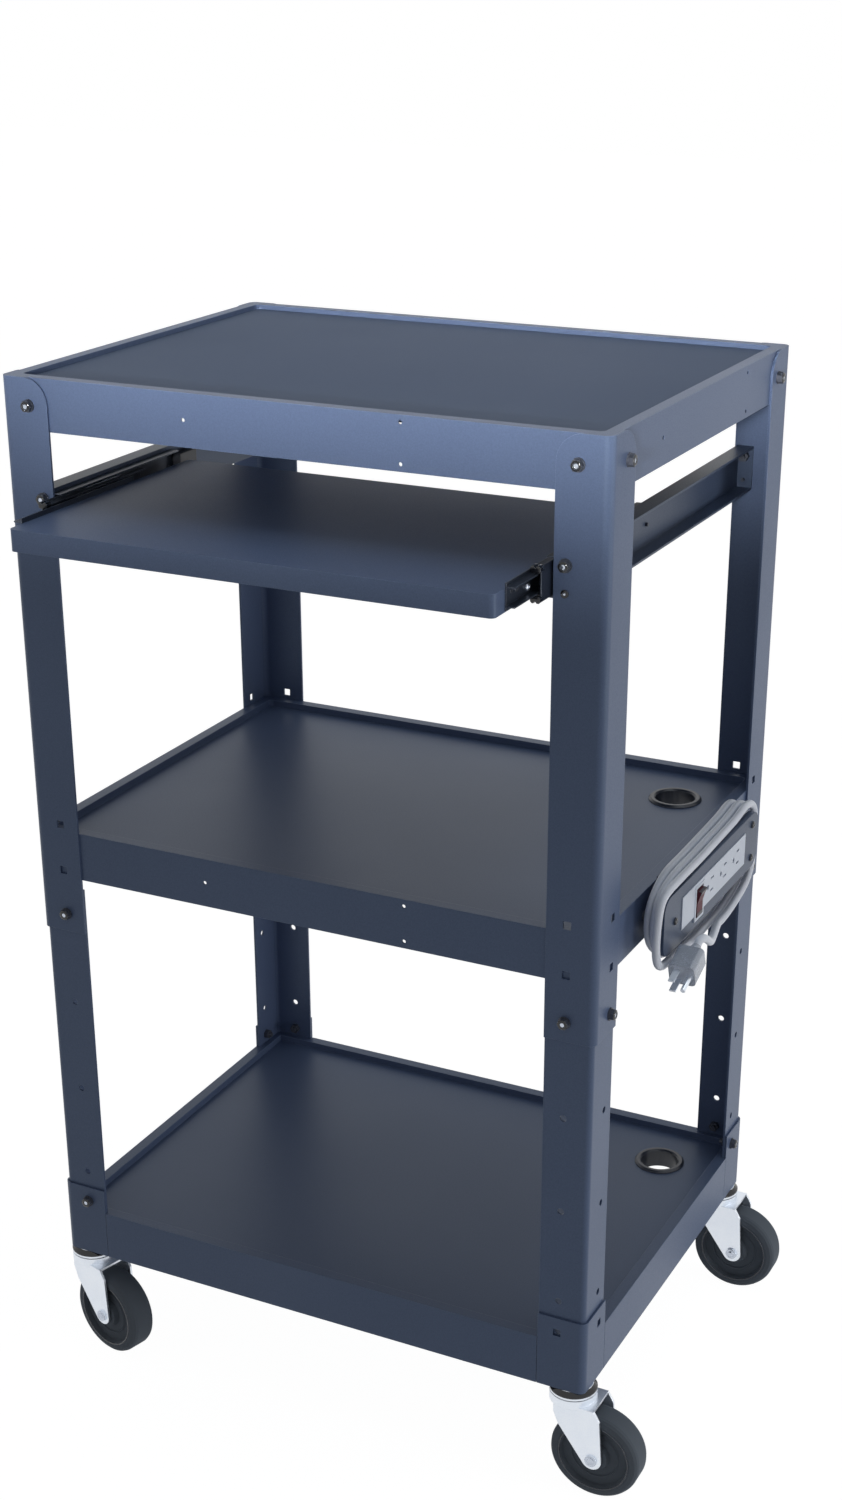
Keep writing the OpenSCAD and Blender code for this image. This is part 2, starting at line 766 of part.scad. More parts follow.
module cages_outer() {
  mid = (middle_in + slide_steel + outer_reach) / 2;
  color(bare_steel) for (right = [0, 1]) for (s = [-1, 1])
    cage_row(right, mid, s * (outer_inside + middle_outside) / 2, cage_outer_mid - cage_len / 2);
}

module cages_inner() {
  mid = (slide_space - inner_reach + middle_in + middle_reach) / 2;
  color(bare_steel) for (right = [0, 1]) for (s = [-1, 1])
    cage_row(right, mid, s * (middle_inside + inner_outside) / 2, cage_inner_mid - cage_len / 2);
}

// Stop blocks and small screws

// Gap between the stop blocks and the slide's end
stop_gap = 2;
stop_t = 10.5;

module stop_blocks() {
  color(rubber_black) for (right = [0, 1])
    slide_bar(right, 0, stop_t, -stop_h / 2, stop_h / 2, slide_front + slide_l + stop_gap, stop_l);
}

// Small round-headed screw with its head below z = 0 and its shank above
module small_screw(shank) {
  translate([0, 0, -screw_head_h]) cylinder(d = screw_head, h = screw_head_h, $fn = 12);
  cylinder(d = screw_d, h = shank, $fn = 12);
}

screw_tail = 2.5;

module rail_screws() {
  color(bare_steel) {
    for (right = [0, 1]) for (y = slide_screw_ys)
      mirror([1 - right, 0, 0]) translate([rail_web - slide_steel, y, rail_z])
        rotate([0, 90, 0]) small_screw(slide_steel + rail_steel + screw_tail);
    for (right = [0, 1]) for (back = [0, 1])
      corner(right, back) translate([rail_bolt_in, 0, rail_z - rail_bolt_up])
        rotate([-90, 0, 0]) small_screw(leg_steel + rail_steel + screw_tail);
  }
}

// Power strip on the right skirt of the middle tray

strip_z = middle_z - middle_skirt / 2;
strip_x = inner_w;
strip_face_x = strip_x + strip_d;
strip_l = 2 * (fixing_off + strip_end);
strip_body_l = strip_body_front + strip_body_back;
strip_body_h = strip_h - 2 * strip_wall;
// Depth of the rocker's pivot behind the strip's face
rocker_sink = 5;
// Rise of the switch frame above the plate
frame_rise = 0.6;
// Clearance round the rocker
rocker_gap = 1.6;
// Wall and depth of the collar that the rocker turns in
collar_wall = 2;
collar_depth = 12;
// Diameter of the rocker's pivot
rocker_pivot_d = 3.6;
// Drop of the rocker's middle below the strip's middle
rocker_drop = 4.5;
rocker_z = strip_z - rocker_drop;
rocker_window_w = rocker_w + 2 * rocker_gap;
rocker_window_h = rocker_h + 2 * rocker_gap;
// Distance of the first outlet's middle from the switch frame
outlet_edge = 19.5;
outlet_first = rocker_window_w / 2 + rocker_border + outlet_edge - rocker_off;

// Box in the strip's face: middle along Y and Z, size, and depths behind the face
module face_box(y, z, w, h, behind, ahead) {
  translate([strip_face_x - behind, y - w / 2, z - h / 2]) cube([behind + ahead, w, h]);
}

module strip_screw_axes() {
  for (spot = [[-fixing_off, 0], [fixing_off, fixing_half], [fixing_off, -fixing_half]])
    translate([strip_face_x, spot[0], strip_z + spot[1]]) rotate([0, -90, 0]) children();
}

// Block on the strip's plan: the face's outline, set in by a wall, between two depths
module face_block(inset, x0, x1) {
  translate([x0, -strip_shift, strip_z]) rotate([90, 0, 90])
    linear_extrude(x1 - x0) round_plan(strip_l - 2 * inset, strip_h - 2 * inset, strip_corner - inset);
}

// Block of the strip's body, set in by a wall, between two depths
module body_block(inset, x0, x1) {
  translate([x0, -strip_body_front + inset, strip_z - strip_body_h / 2 + inset])
    cube([x1 - x0, strip_body_l - 2 * inset, strip_body_h - 2 * inset]);
}

module strip_housing() {
  color(leg_paint) difference() {
    union() {
      difference() {
        face_block(0, strip_face_x - strip_pan, strip_face_x);
        face_block(strip_wall, strip_face_x - strip_pan - over, strip_face_x - strip_wall);
      }
      body_block(0, strip_x, strip_face_x - strip_wall / 2);
    }
    body_block(strip_wall, strip_x + strip_wall, strip_face_x - strip_wall);
    face_box(-plate_shift, strip_z, plate_l, plate_h, strip_wall + over, over);
    face_box(-rocker_off, rocker_z, rocker_window_w, rocker_window_h, strip_wall + over, over);
    strip_screw_axes() translate([0, 0, -over]) cylinder(d = screw_d + hole_play, h = strip_d + 2 * over, $fn = 24);
  }
}

// Spacers between the tray's skirt and the strip's face, one round each screw
module strip_spacers() {
  color(bare_steel) strip_screw_axes() translate([0, 0, strip_wall]) difference() {
    cylinder(d = spacer_d, h = strip_d - strip_wall);
    translate([0, 0, -over]) cylinder(d = screw_d + hole_play, h = strip_d + 2 * over, $fn = 24);
  }
}

// Blade slots and ground hole of each outlet, from depth behind the face
slot_w = 1.8;
slot_l = 8;
slot_half = 6.35;
ground_d = 5;
ground_off = 11.9;
slot_shift = 4;

module outlet_slots(behind) {
  for (k = [0 : outlet_count - 1]) translate([0, outlet_first + k * outlet_pitch, 0]) {
    for (s = [-1, 1])
      face_box(slot_shift, strip_z + s * slot_half, slot_l, slot_w, behind, plate_proud + over);
    translate([strip_face_x - behind, slot_shift - ground_off, strip_z]) rotate([0, 90, 0])
      cylinder(d = ground_d, h = behind + plate_proud + over, $fn = 16);
  }
}

module strip_plate() {
  color([0.88, 0.90, 0.94]) difference() {
    union() {
      face_box(-plate_shift, strip_z, plate_l - hole_play, plate_h - hole_play, plate_t - plate_proud, plate_proud);
      // frame of the switch, on the strip's face
      face_box(-rocker_off, rocker_z, rocker_window_w + 2 * rocker_border, rocker_window_h + 2 * rocker_border,
        0, plate_proud + frame_rise);
      // collar behind the frame
      face_box(-rocker_off, rocker_z, rocker_window_w + 2 * collar_wall, rocker_window_h + 2 * collar_wall,
        collar_depth, plate_proud - plate_t);
      face_box(-rocker_off, strip_z, rocker_window_w + 2 * collar_wall, plate_h - hole_play,
        plate_t, 0);
    }
    face_box(-rocker_off, rocker_z, rocker_window_w, rocker_window_h, collar_depth + over, plate_proud + over * 2);
    translate([strip_face_x - rocker_sink, -rocker_off, rocker_z]) rotate([90, 0, 0])
      cylinder(d = rocker_pivot_d + shaft_play, h = rocker_window_w + 2 * collar_wall + over, center = true);
    outlet_slots(plate_t + over);
  }
}
module outlet_inserts() {
  color([0.80, 0.82, 0.86]) difference() {
    for (k = [0 : outlet_count - 1])
      translate([0, outlet_first + k * outlet_pitch, 0])
        face_box(0, strip_z, outlet_size, outlet_size, outlet_depth, plate_proud - plate_t);
    outlet_slots(outlet_depth - strip_wall);
  }
}

module strip_screws() {
  color(rubber_black) strip_screw_axes() small_screw(strip_d + tray_sheet + screw_tail);
}

// Rocker profile in shares of its half height, outward and up from the pivot
rocker_rise = 6.8;
rocker_dip = 2;
rocker_root = 4;

module rocker_switch() {
  color([0.36, 0.12, 0.16])
    translate([strip_face_x - rocker_sink, -rocker_off, rocker_z])
      rotate([0, rocker_tilt, 0]) rotate([90, 0, 0]) union() {
        linear_extrude(rocker_w, center = true)
          polygon([
            [rocker_rise, 0],
            [rocker_rise + rocker_dip, rocker_h / 2],
            [rocker_rise - rocker_root, rocker_h / 2],
            [-rocker_root, rocker_h / 4],
            [-rocker_root, -rocker_h / 4],
            [rocker_rise - rocker_root, -rocker_h / 2],
            [rocker_rise + rocker_dip, -rocker_h / 2]
          ]);
        cylinder(d = rocker_pivot_d, h = rocker_window_w + 1.4 * collar_wall, center = true);
      }
}

// Cord

// Points of the first loop round the strip, along and up from its middle, and the spread of the later loops
winding_points = [
  [10, -55.3, 0, 0], [-40, -51.3, 0, 0], [-84, -44.3, -1, 0], [-107, -31.3, -5.2, -1.4],
  [-121, -12.3, -5.4, -1.2], [-122, 7.7, -5, 1], [-111, 22.7, -4.6, 2], [-82, 34.2, -2, 0.3],
  [-35, 34.7, 0, 0], [20, 34.7, 0, 0], [70, 35.2, 0, 0], [108, 36.7, 0.1, 0.2], [128, 25.7, 0.5, 0.3],
  [134, 4.7, 0.2, 0], [134, -19.3, 0, 0], [126, -39.3, 0, 0], [104, -50.3, 0, 0], [56, -56.3, 0, 0]
];
// First and last place on the winding, in loops from its first point
winding_start = -0.06;
winding_end = 2.98;
// Plane of the first loop: distance from the tray's skirt at the front end, and its lean toward the back
winding_x = 8.4;
winding_lean = 0.03;
winding_front = -150;
rings_per_loop = 24;

function catmull(a, b, c, d, t) =
  ((2 * b) + (c - a) * t + (2 * a - 5 * b + 4 * c - d) * t * t + (3 * b - a - 3 * c + d) * t * t * t) / 2;
function loop_at(u) =
  let (n = len(winding_points), i = floor(u), f = u - i)
  catmull(winding_points[(i + n - 1) % n], winding_points[i % n], winding_points[(i + 1) % n],
    winding_points[(i + 2) % n], f);
function unit(v) = v / norm(v);
function winding_at(t) =
  let (p = loop_at((t + 1) * len(winding_points)), y = p[0] + p[2] * t * t, z = p[1] + p[3] * t * t)
  [strip_x + winding_x + layer_pitch * t - (y - winding_front) * winding_lean, y, strip_z + z];
winding_steps = round((winding_end - winding_start) * rings_per_loop);
winding_path = [for (k = [0 : winding_steps])
  winding_at(winding_start + (winding_end - winding_start) * k / winding_steps)];

// Sweeps a round tube along a path, its first and last rings square to the path
function path_way(path, k) = unit(path[min(k + 1, len(path) - 1)] - path[max(k - 1, 0)]);
function side_way(way) = unit(cross(way, [1, 0, 0]));
function ring_points(path, k, r, sides) =
  let (way = path_way(path, k), a = side_way(way), b = cross(way, a))
  [for (s = [0 : sides - 1]) path[k] + r * (a * cos(360 * s / sides) + b * sin(360 * s / sides))];

module tube(path, d, sides) {
  n = len(path);
  points = [for (k = [0 : n - 1]) each ring_points(path, k, d / 2, sides)];
  walls = [for (k = [0 : n - 2]) for (s = [0 : sides - 1]) for (h = [0, 1])
    let (a = k * sides + s, b = k * sides + (s + 1) % sides)
    h == 0 ? [a, b, a + sides] : [b, b + sides, a + sides]];
  head = [for (s = [1 : sides - 2]) [0, s + 1, s]];
  tail = [for (s = [1 : sides - 2]) [(n - 1) * sides, (n - 1) * sides + s, (n - 1) * sides + s + 1]];
  polyhedron(points = points, faces = concat(walls, head, tail), convexity = 10);
}

// Smooth path through points, with the given number of steps between neighbours
function smooth_path(p, steps) = [
  for (k = [1 : len(p) - 3]) for (j = [0 : steps - 1])
    catmull(p[k - 1], p[k], p[k + 1], p[k + 2], j / steps),
  p[len(p) - 2]
];

// Distance of the strain relief's side from the tray's skirt
relief_gap = 0.4;
relief_x = strip_x + relief_d / 2 + relief_gap;
relief_end = strip_body_back + relief_l;
// Route of the lead from the relief toward the winding, from the relief's end
lead_turns = [
  [0, 0, 0], [0, 8, -1], [-0.3, 15, -8], [-0.4, 17.5, -18], [-2.5, 16.5, -30], [-6.2, 8, -42.5], [-5.8, -9, -51]
];
lead_points = [for (p = lead_turns) [relief_x + p[0], relief_end + p[1], strip_z + p[2]]];
plug_place = [strip_face_x + 17, -117.5, strip_z - 38.3];
plug_dip = 20;
plug_neck = 12;
plug_way = [0, -cos(plug_dip), -sin(plug_dip)];
plug_root = plug_place - (plug_l / 2 + plug_neck) * plug_way;
// Route of the tail from the winding toward the plug, from the plug's root
tail_turns = [[-11, 77, -26], [-4.5, 52, -17.5], [-0.8, 32, -6], [0, 17.5, 1.5]];
tail_points = [for (p = tail_turns) plug_root + p];
way_in = unit(winding_path[1] - winding_path[0]);
way_out = unit(winding_path[winding_steps] - winding_path[winding_steps - 1]);
lead_path = smooth_path(concat([[relief_x, relief_end - cord_d, strip_z]], lead_points,
  [for (k = [2, 1, 0, -1]) winding_path[0] - k * cord_d * way_in]), 2);
tail_path = smooth_path(concat([for (k = [-1, 0, 1]) winding_path[winding_steps] + k * cord_d * way_out],
  tail_points, [for (k = [-1, 0, 1]) plug_root + k * cord_d * plug_way]), 2);

// Least gap of the winding to itself, measured between its rings
function gap_at(i) = min([for (j = [i + 7 : winding_steps]) norm(winding_path[i] - winding_path[j])]) - cord_d;
winding_gap = min([for (i = [0 : winding_steps - 8]) gap_at(i)]);
echo(winding_gap = winding_gap);

cord_paint = [0.84, 0.86, 0.92];

module cord_relief() {
  color(rubber_black) translate([relief_x, strip_body_back, strip_z]) rotate([-90, 0, 0])
    cylinder(d1 = relief_d, d2 = cord_d + 1, h = relief_l);
}

module cord_lead() {
  color(cord_paint) tube(lead_path, cord_d, 8);
}

module cord_winding() {
  color(cord_paint) tube(winding_path, cord_d, 6);
}

module cord_tail() {
  color(cord_paint) tube(tail_path, cord_d, 8);
}

// Plug

plug_corner = 5;
blade_w = 6.3;
blade_t = 1.6;
blade_half = 6.35;
pin_d = 4.8;
pin_off = 11.9;
pin_l = 19;
blade_shift = 4;

module at_plug() {
  translate(plug_place) rotate([90 + plug_dip, 0, 0]) children();
}

module plug_body() {
  color([0.62, 0.65, 0.72]) at_plug() {
    translate([0, 0, -plug_l / 2]) linear_extrude(plug_l) round_plan(plug_w, plug_h, plug_corner);
    translate([0, 0, -plug_l / 2 - plug_neck])
      cylinder(d1 = cord_d + 1.2, d2 = plug_h - 2 * plug_corner, h = plug_neck);
  }
}

module plug_pins() {
  color(bare_steel) at_plug() translate([0, 0, plug_l / 2]) {
    for (s = [-1, 1])
      translate([-blade_shift - blade_w / 2, s * blade_half - blade_t / 2, 0]) cube([blade_w, blade_t, blade_l]);
    translate([pin_off - blade_shift, 0, 0]) cylinder(d = pin_d, h = pin_l, $fn = 16);
  }
}

// Casters

caster_angles = [[front_left_angle, 0], [0, 0]];
swivel_x = half_w - swivel_in_side;
swivel_y = half_d - swivel_in_front;
race_z = deck_base_z - race_h;
race_floor = race_z - race_ball_d - ball_play;
race_lip = 3;
race_cone = 4;
kingpin_head = 2.2;
stem_h = 16;
wheel_r = wheel_d / 2;

module at_caster(right, back) {
  translate([(2 * right - 1) * swivel_x, (2 * back - 1) * swivel_y, 0])
    rotate([0, 0, caster_angles[right][back]]) children();
}

// Fixed upper race with its swivel pin, from the socket's underside down through the fork
module caster_base() {
  rotate_extrude() union() {
    polygon([
      [0, deck_base_z], [race_d / 2 - race_cone, deck_base_z], [race_d / 2, race_z + race_h / 3],
      [race_d / 2, race_z], [0, race_z]
    ]);
    translate([0, race_z - over]) square([kingpin_d / 2, stem_h + race_h + over]);
    translate([0, fork_z - fork_steel - kingpin_head - ball_play])
      square([kingpin_d / 2, deck_base_z - fork_z + fork_steel + kingpin_head]);
    translate([0, fork_z - fork_steel - kingpin_head - ball_play])
      square([kingpin_d * 0.8, kingpin_head]);
  }
}

module caster_bases() {
  color(bare_steel) for (right = [0, 1]) for (back = [0, 1]) at_caster(right, back) caster_base();
}

module caster_nuts() {
  color(bare_steel) for (right = [0, 1]) for (back = [0, 1])
    at_caster(right, back) translate([0, 0, deck_base_z + socket_steel]) difference() {
      cylinder(d = kingpin_d * 1.7, h = nut_h * 1.5, $fn = 6);
      translate([0, 0, -over]) cylinder(d = kingpin_d + shaft_play, h = nut_h * 1.5 + 2 * over);
    }
}

module caster_balls() {
  color(bare_steel) for (right = [0, 1]) for (back = [0, 1])
    at_caster(right, back) for (k = [0 : race_balls - 1])
      rotate([0, 0, 360 * k / race_balls])
        translate([race_d / 2 - race_lip - race_ball_d / 2 - 1.5, 0, race_z - race_ball_d / 2])
          sphere(d = race_ball_d, $fn = 24);
}

// Outline of a fork leg, seen from the side, with the trail along +X
fork_back = 13;
fork_front = 30;
fork_shoulder = 11;
fork_waist_x = 7.6;
fork_waist_z = 25;
fork_foot_r = 10.5;

// Point where the edge from p meets the foot's round, on its lower left
function tangent_point(p, c, r) =
  let (v = p - c, l = norm(v), a = acos(r / l), b = atan2(v[1], v[0]))
  c + r * [cos(b + a), sin(b + a)];

module fork_outline() {
  foot = [caster_trail, wheel_r];
  waist = [-fork_waist_x, fork_z - fork_waist_z];
  touch = tangent_point(waist, foot, fork_foot_r);
  union() {
    polygon([
      [-fork_back, fork_z], [-fork_back, fork_z - fork_shoulder], waist, touch, foot,
      [caster_trail + fork_foot_r, wheel_r], [fork_front + fork_foot_r * 0.6, fork_z - fork_shoulder],
      [fork_front, fork_z]
    ]);
    translate(foot) circle(r = fork_foot_r);
  }
}

module fork() {
  color(bare_steel) difference() {
    union() {
      for (s = [-1, 1])
        translate([0, s * (fork_w - fork_steel) / 2, 0]) rotate([90, 0, 0])
          linear_extrude(fork_steel, center = true) fork_outline();
      // crown between the legs
      translate([-fork_back, -fork_w / 2, fork_z - fork_steel])
        cube([fork_back + fork_front, fork_w, fork_steel]);
      // lower race
      translate([0, 0, fork_z - fork_steel]) cylinder(d = race_d - race_lip, h = fork_steel + race_floor - fork_z);
      translate([0, 0, fork_z - fork_steel])
        difference() {
          cylinder(d = race_d, h = fork_steel + race_z - fork_z - 1);
          translate([0, 0, -over]) cylinder(d = race_d - 2 * race_lip, h = fork_steel + race_z - fork_z + over);
        }
    }
    translate([0, 0, fork_z - fork_steel - over])
      cylinder(d = kingpin_d + 2 * shaft_play, h = fork_steel + race_z - fork_z + 2 * over);
    translate([caster_trail, 0, wheel_r]) rotate([90, 0, 0])
      cylinder(d = axle_d + shaft_play, h = fork_w + 2 * over, center = true);
  }
}

// Gap between a spacer and the hub
spacer_gap = 0.4;
rivet_head = 1.6;
axle_spacer_d = 13;

module axle() {
  color(bare_steel) translate([caster_trail, 0, wheel_r]) rotate([90, 0, 0]) union() {
    cylinder(d = axle_d, h = fork_w + 2 * rivet_head, center = true);
    for (s = [0, 1]) mirror([0, 0, s]) {
      translate([0, 0, fork_w / 2]) cylinder(d = axle_spacer_d, h = rivet_head);
      translate([0, 0, wheel_w / 2 + spacer_gap])
        cylinder(d = axle_spacer_d, h = fork_w / 2 - fork_steel - wheel_w / 2 - spacer_gap);
    }
  }
}

// Half profile of the wheel in shares of its radius and half width, from the bore outward
rim_share = 0.76;
web_share = 0.5;
hub_share = 0.3;
shoulder_share = 0.93;
crown_share = 0.62;
recess_share = 0.62;
ring_share = 0.52;

module wheel_profile() {
  hw = wheel_w / 2;
  bore = axle_d / 2 + shaft_play;
  half = [
    [bore, hw], [wheel_r * hub_share, hw], [wheel_r * (hub_share + 0.04), hw * recess_share],
    [wheel_r * web_share, hw * recess_share], [wheel_r * ring_share, hw * (recess_share + 0.1)],
    [wheel_r * (ring_share + 0.04), hw * recess_share],
    [wheel_r * (rim_share - 0.03), hw * recess_share], [wheel_r * rim_share, hw],
    [wheel_r * (rim_share + 0.08), hw], [wheel_r * shoulder_share, hw * 0.94],
    [wheel_r * 0.98, hw * 0.8], [wheel_r, hw * crown_share]
  ];
  polygon(concat(half, [for (k = [len(half) - 1 : -1 : 0]) [half[k][0], -half[k][1]]]));
}

module wheel() {
  color(rubber_black) translate([caster_trail, 0, wheel_r]) rotate([90, 0, 0])
    rotate_extrude() wheel_profile();
}

top_tray();
top_mat();
middle_tray();
bottom_tray();
upper_leg(0, 0);  // leg_upper_fl
upper_leg(1, 0);  // leg_upper_fr
upper_leg(0, 1);  // leg_upper_bl
upper_leg(1, 1);  // leg_upper_br
lower_leg(0, 0);  // leg_lower_fl
lower_leg(1, 0);  // leg_lower_fr
lower_leg(0, 1);  // leg_lower_bl
lower_leg(1, 1);  // leg_lower_br
corner_socket(0, 0);  // corner_socket_fl
corner_socket(1, 0);  // corner_socket_fr
corner_socket(0, 1);  // corner_socket_bl
corner_socket(1, 1);  // corner_socket_br
frame_bolts();
frame_nuts();
grommet_middle();
grommet_bottom();
side_rail(0);  // rail_left
side_rail(1);  // rail_right
slide_outer(0);  // slide_outer_left
slide_outer(1);  // slide_outer_right
stop_blocks();
rail_screws();
strip_housing();
strip_plate();
outlet_inserts();
strip_screws();
strip_spacers();
cord_relief();
cord_lead();
cord_winding();
cord_tail();
plug_body();
plug_pins();
caster_bases();
caster_nuts();
caster_balls();
keyboard_shelf();
slide_inner(0);  // slide_inner_left
slide_inner(1);  // slide_inner_right
slide_middle(0);  // slide_middle_left
slide_middle(1);  // slide_middle_right
cages_outer();
cages_inner();
rocker_switch();
at_caster(0, 0) fork();  // fork_fl
at_caster(1, 0) fork();  // fork_fr
at_caster(0, 1) fork();  // fork_bl
at_caster(1, 1) fork();  // fork_br
at_caster(0, 0) axle();  // axle_fl
at_caster(1, 0) axle();  // axle_fr
at_caster(0, 1) axle();  // axle_bl
at_caster(1, 1) axle();  // axle_br
at_caster(0, 0) wheel();  // wheel_fl
at_caster(1, 0) wheel();  // wheel_fr
at_caster(0, 1) wheel();  // wheel_bl
at_caster(1, 1) wheel();  // wheel_br
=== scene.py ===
"""Looks of a rolling equipment cart: painted steel, ball slides, power strip, cord and casters."""

import json
import logging
import math
from dataclasses import dataclass
from enum import Enum
from typing import Any, Callable, Sequence

import bmesh
import bpy
from mathutils import Matrix, Vector


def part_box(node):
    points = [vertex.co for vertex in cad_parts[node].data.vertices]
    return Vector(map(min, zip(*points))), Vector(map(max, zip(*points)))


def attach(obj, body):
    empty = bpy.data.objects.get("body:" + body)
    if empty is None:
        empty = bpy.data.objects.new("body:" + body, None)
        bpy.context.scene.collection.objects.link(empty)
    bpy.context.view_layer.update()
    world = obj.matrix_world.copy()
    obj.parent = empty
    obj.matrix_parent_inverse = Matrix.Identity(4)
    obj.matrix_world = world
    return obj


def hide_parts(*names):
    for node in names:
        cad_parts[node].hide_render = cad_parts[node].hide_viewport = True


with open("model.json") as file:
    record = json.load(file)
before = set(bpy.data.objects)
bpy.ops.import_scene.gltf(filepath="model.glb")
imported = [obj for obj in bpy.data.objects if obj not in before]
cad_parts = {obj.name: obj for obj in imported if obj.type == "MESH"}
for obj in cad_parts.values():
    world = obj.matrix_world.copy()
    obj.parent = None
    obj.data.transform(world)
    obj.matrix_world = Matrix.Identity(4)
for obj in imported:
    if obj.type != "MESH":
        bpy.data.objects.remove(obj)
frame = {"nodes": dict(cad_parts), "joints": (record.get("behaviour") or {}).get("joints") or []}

log = logging.getLogger("cart")

Colour = tuple[float, float, float]
Point = tuple[float, float, float]
Profile = Sequence[tuple[float, float]]
Mesh = bmesh.types.BMesh
Builder = Callable[[Mesh], None]
Tree, Node, Socket = bpy.types.NodeTree, bpy.types.Node, bpy.types.NodeSocket
Outputs = bpy.types.NodeOutputs

MM = 0.001
CORNERS = ("fl", "fr", "bl", "br")
WHITE: Colour = (1.0, 1.0, 1.0)
EVEN: Point = (1.0, 1.0, 1.0)
# Edges that bend less than this are shaded smooth.
SHARP_ANGLE = math.radians(35.0)
LEAST_ROUGHNESS = 0.02
# Place of a round's middle ring, and the least share of an outline that a round leaves.
ROUND_SHARE = 0.3
LEAST_KEPT = 0.2
# Decimals of a millimetre that are kept of the frame's places.
DECIMALS = 3


class Slot(Enum):
    """Material slots of the record that the finishes stand for."""

    PAINT = "grey_paint"
    BLACK_STEEL = "black_steel"
    BRIGHT_STEEL = "bright_steel"
    RUBBER = "black_rubber"
    TYRE = "wheel_rubber"
    WHITE = "white_plastic"
    RED = "red_plastic"
    VINYL = "pale_vinyl"
    CLEAR = "clear_vinyl"


def srgb(red: int, green: int, blue: int) -> Colour:
    """Turns an 8-bit screen colour into linear light.

    Args:
        red: Red from 0 to 255.
        green: Green from 0 to 255.
        blue: Blue from 0 to 255.

    Returns:
        The linear colour.
    """

    def channel(value: int) -> float:
        """Returns one channel in linear light."""
        share = value / 255
        return share / 12.92 if share <= 0.04045 else ((share + 0.055) / 1.055) ** 2.4

    return channel(red), channel(green), channel(blue)


# Places that the frame gives


def in_millimetres(place: Sequence[float]) -> Point:
    """Turns metres into millimetres and drops the noise of the stored numbers.

    Args:
        place: A place, in metres.

    Returns:
        The same place in millimetres.
    """
    return tuple(round(value / MM, DECIMALS) for value in place)


@dataclass(frozen=True)
class NodeBox:
    """Box of a CAD node at rest, in millimetres.

    Attributes:
        low: Its lowest corner.
        high: Its highest corner.
    """

    low: Point
    high: Point

    @classmethod
    def of(cls, name: str) -> "NodeBox":
        """Reads a node's box from the frame, by the node's name."""
        return cls(*(in_millimetres(corner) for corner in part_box(name)))

    @property
    def middle(self) -> Point:
        """Returns the middle of the box."""
        return tuple((low + high) / 2 for low, high in zip(self.low, self.high))

    @property
    def half(self) -> Point:
        """Returns half of the box's size along each axis."""
        return tuple((high - low) / 2 for low, high in zip(self.low, self.high))


def joint(name: str) -> dict[str, Any]:
    """Finds a joint in the frame, by its name."""
    return next(row for row in frame["joints"] if row["name"] == name)


def joint_place(name: str) -> Point:
    """Returns the place of a joint, in millimetres, by its name."""
    return in_millimetres(joint(name)["pos_m"])


# Shader node groups


class Nodes:
    """A node tree, with short ways to add nodes and to join them."""

    def __init__(self, tree: Tree) -> None:
        """Keeps the tree."""
        self.tree = tree

    def node(self, kind: str, **settings: object) -> Node:
        """Adds a node.

        Args:
            kind: Blender's name of the node.
            **settings: Properties to set on it.

        Returns:
            The new node.
        """
        made = self.tree.nodes.new(kind)
        for key, value in settings.items():
            setattr(made, key, value)
        return made

    def link(self, start: object, end: Socket) -> None:
        """Joins two sockets, or sets a number or a colour on the second.

        Args:
            start: Socket, number or colour.
            end: Input that takes it.
        """
        if isinstance(start, Socket):
            self.tree.links.new(start, end)
        else:
            end.default_value = start

    def feed(self, node: Node, **inputs: object) -> Node:
        """Joins or sets several inputs of a node.

        Args:
            node: The node.
            **inputs: Socket, number or colour for each, with underscores for spaces.

        Returns:
            The node.
        """
        for key, value in inputs.items():
            self.link(value, node.inputs[key.replace("_", " ")])
        return node

    def math(self, operation: str, first: object, second: object) -> Socket:
        """Adds a math node.

        Args:
            operation: Blender's name of the operation.
            first: Socket or number.
            second: Socket or number.

        Returns:
            The result's socket.
        """
        made = self.node("ShaderNodeMath", operation=operation)
        self.link(first, made.inputs[0])
        self.link(second, made.inputs[1])
        return made.outputs[0]

    def between(self, value: Socket, low: float, high: float) -> Socket:
        """Spreads a value from 0 to 1 over a range.

        Args:
            value: Socket of the value.
            low: Result at 0.
            high: Result at 1.

        Returns:
            The result's socket.
        """
        made = self.feed(self.node("ShaderNodeMapRange"), Value=value, To_Min=low, To_Max=high)
        return made.outputs["Result"]

    def mix(self, share: Socket, first: object, second: object) -> Socket:
        """Mixes two colours.

        Args:
            share: Share of the second colour.
            first: Socket or colour.
            second: Socket or colour.

        Returns:
            The mixed colour.
        """
        made = self.node("ShaderNodeMix", data_type="RGBA")
        return self.feed(made, Factor=share, A=first, B=second).outputs["Result"]


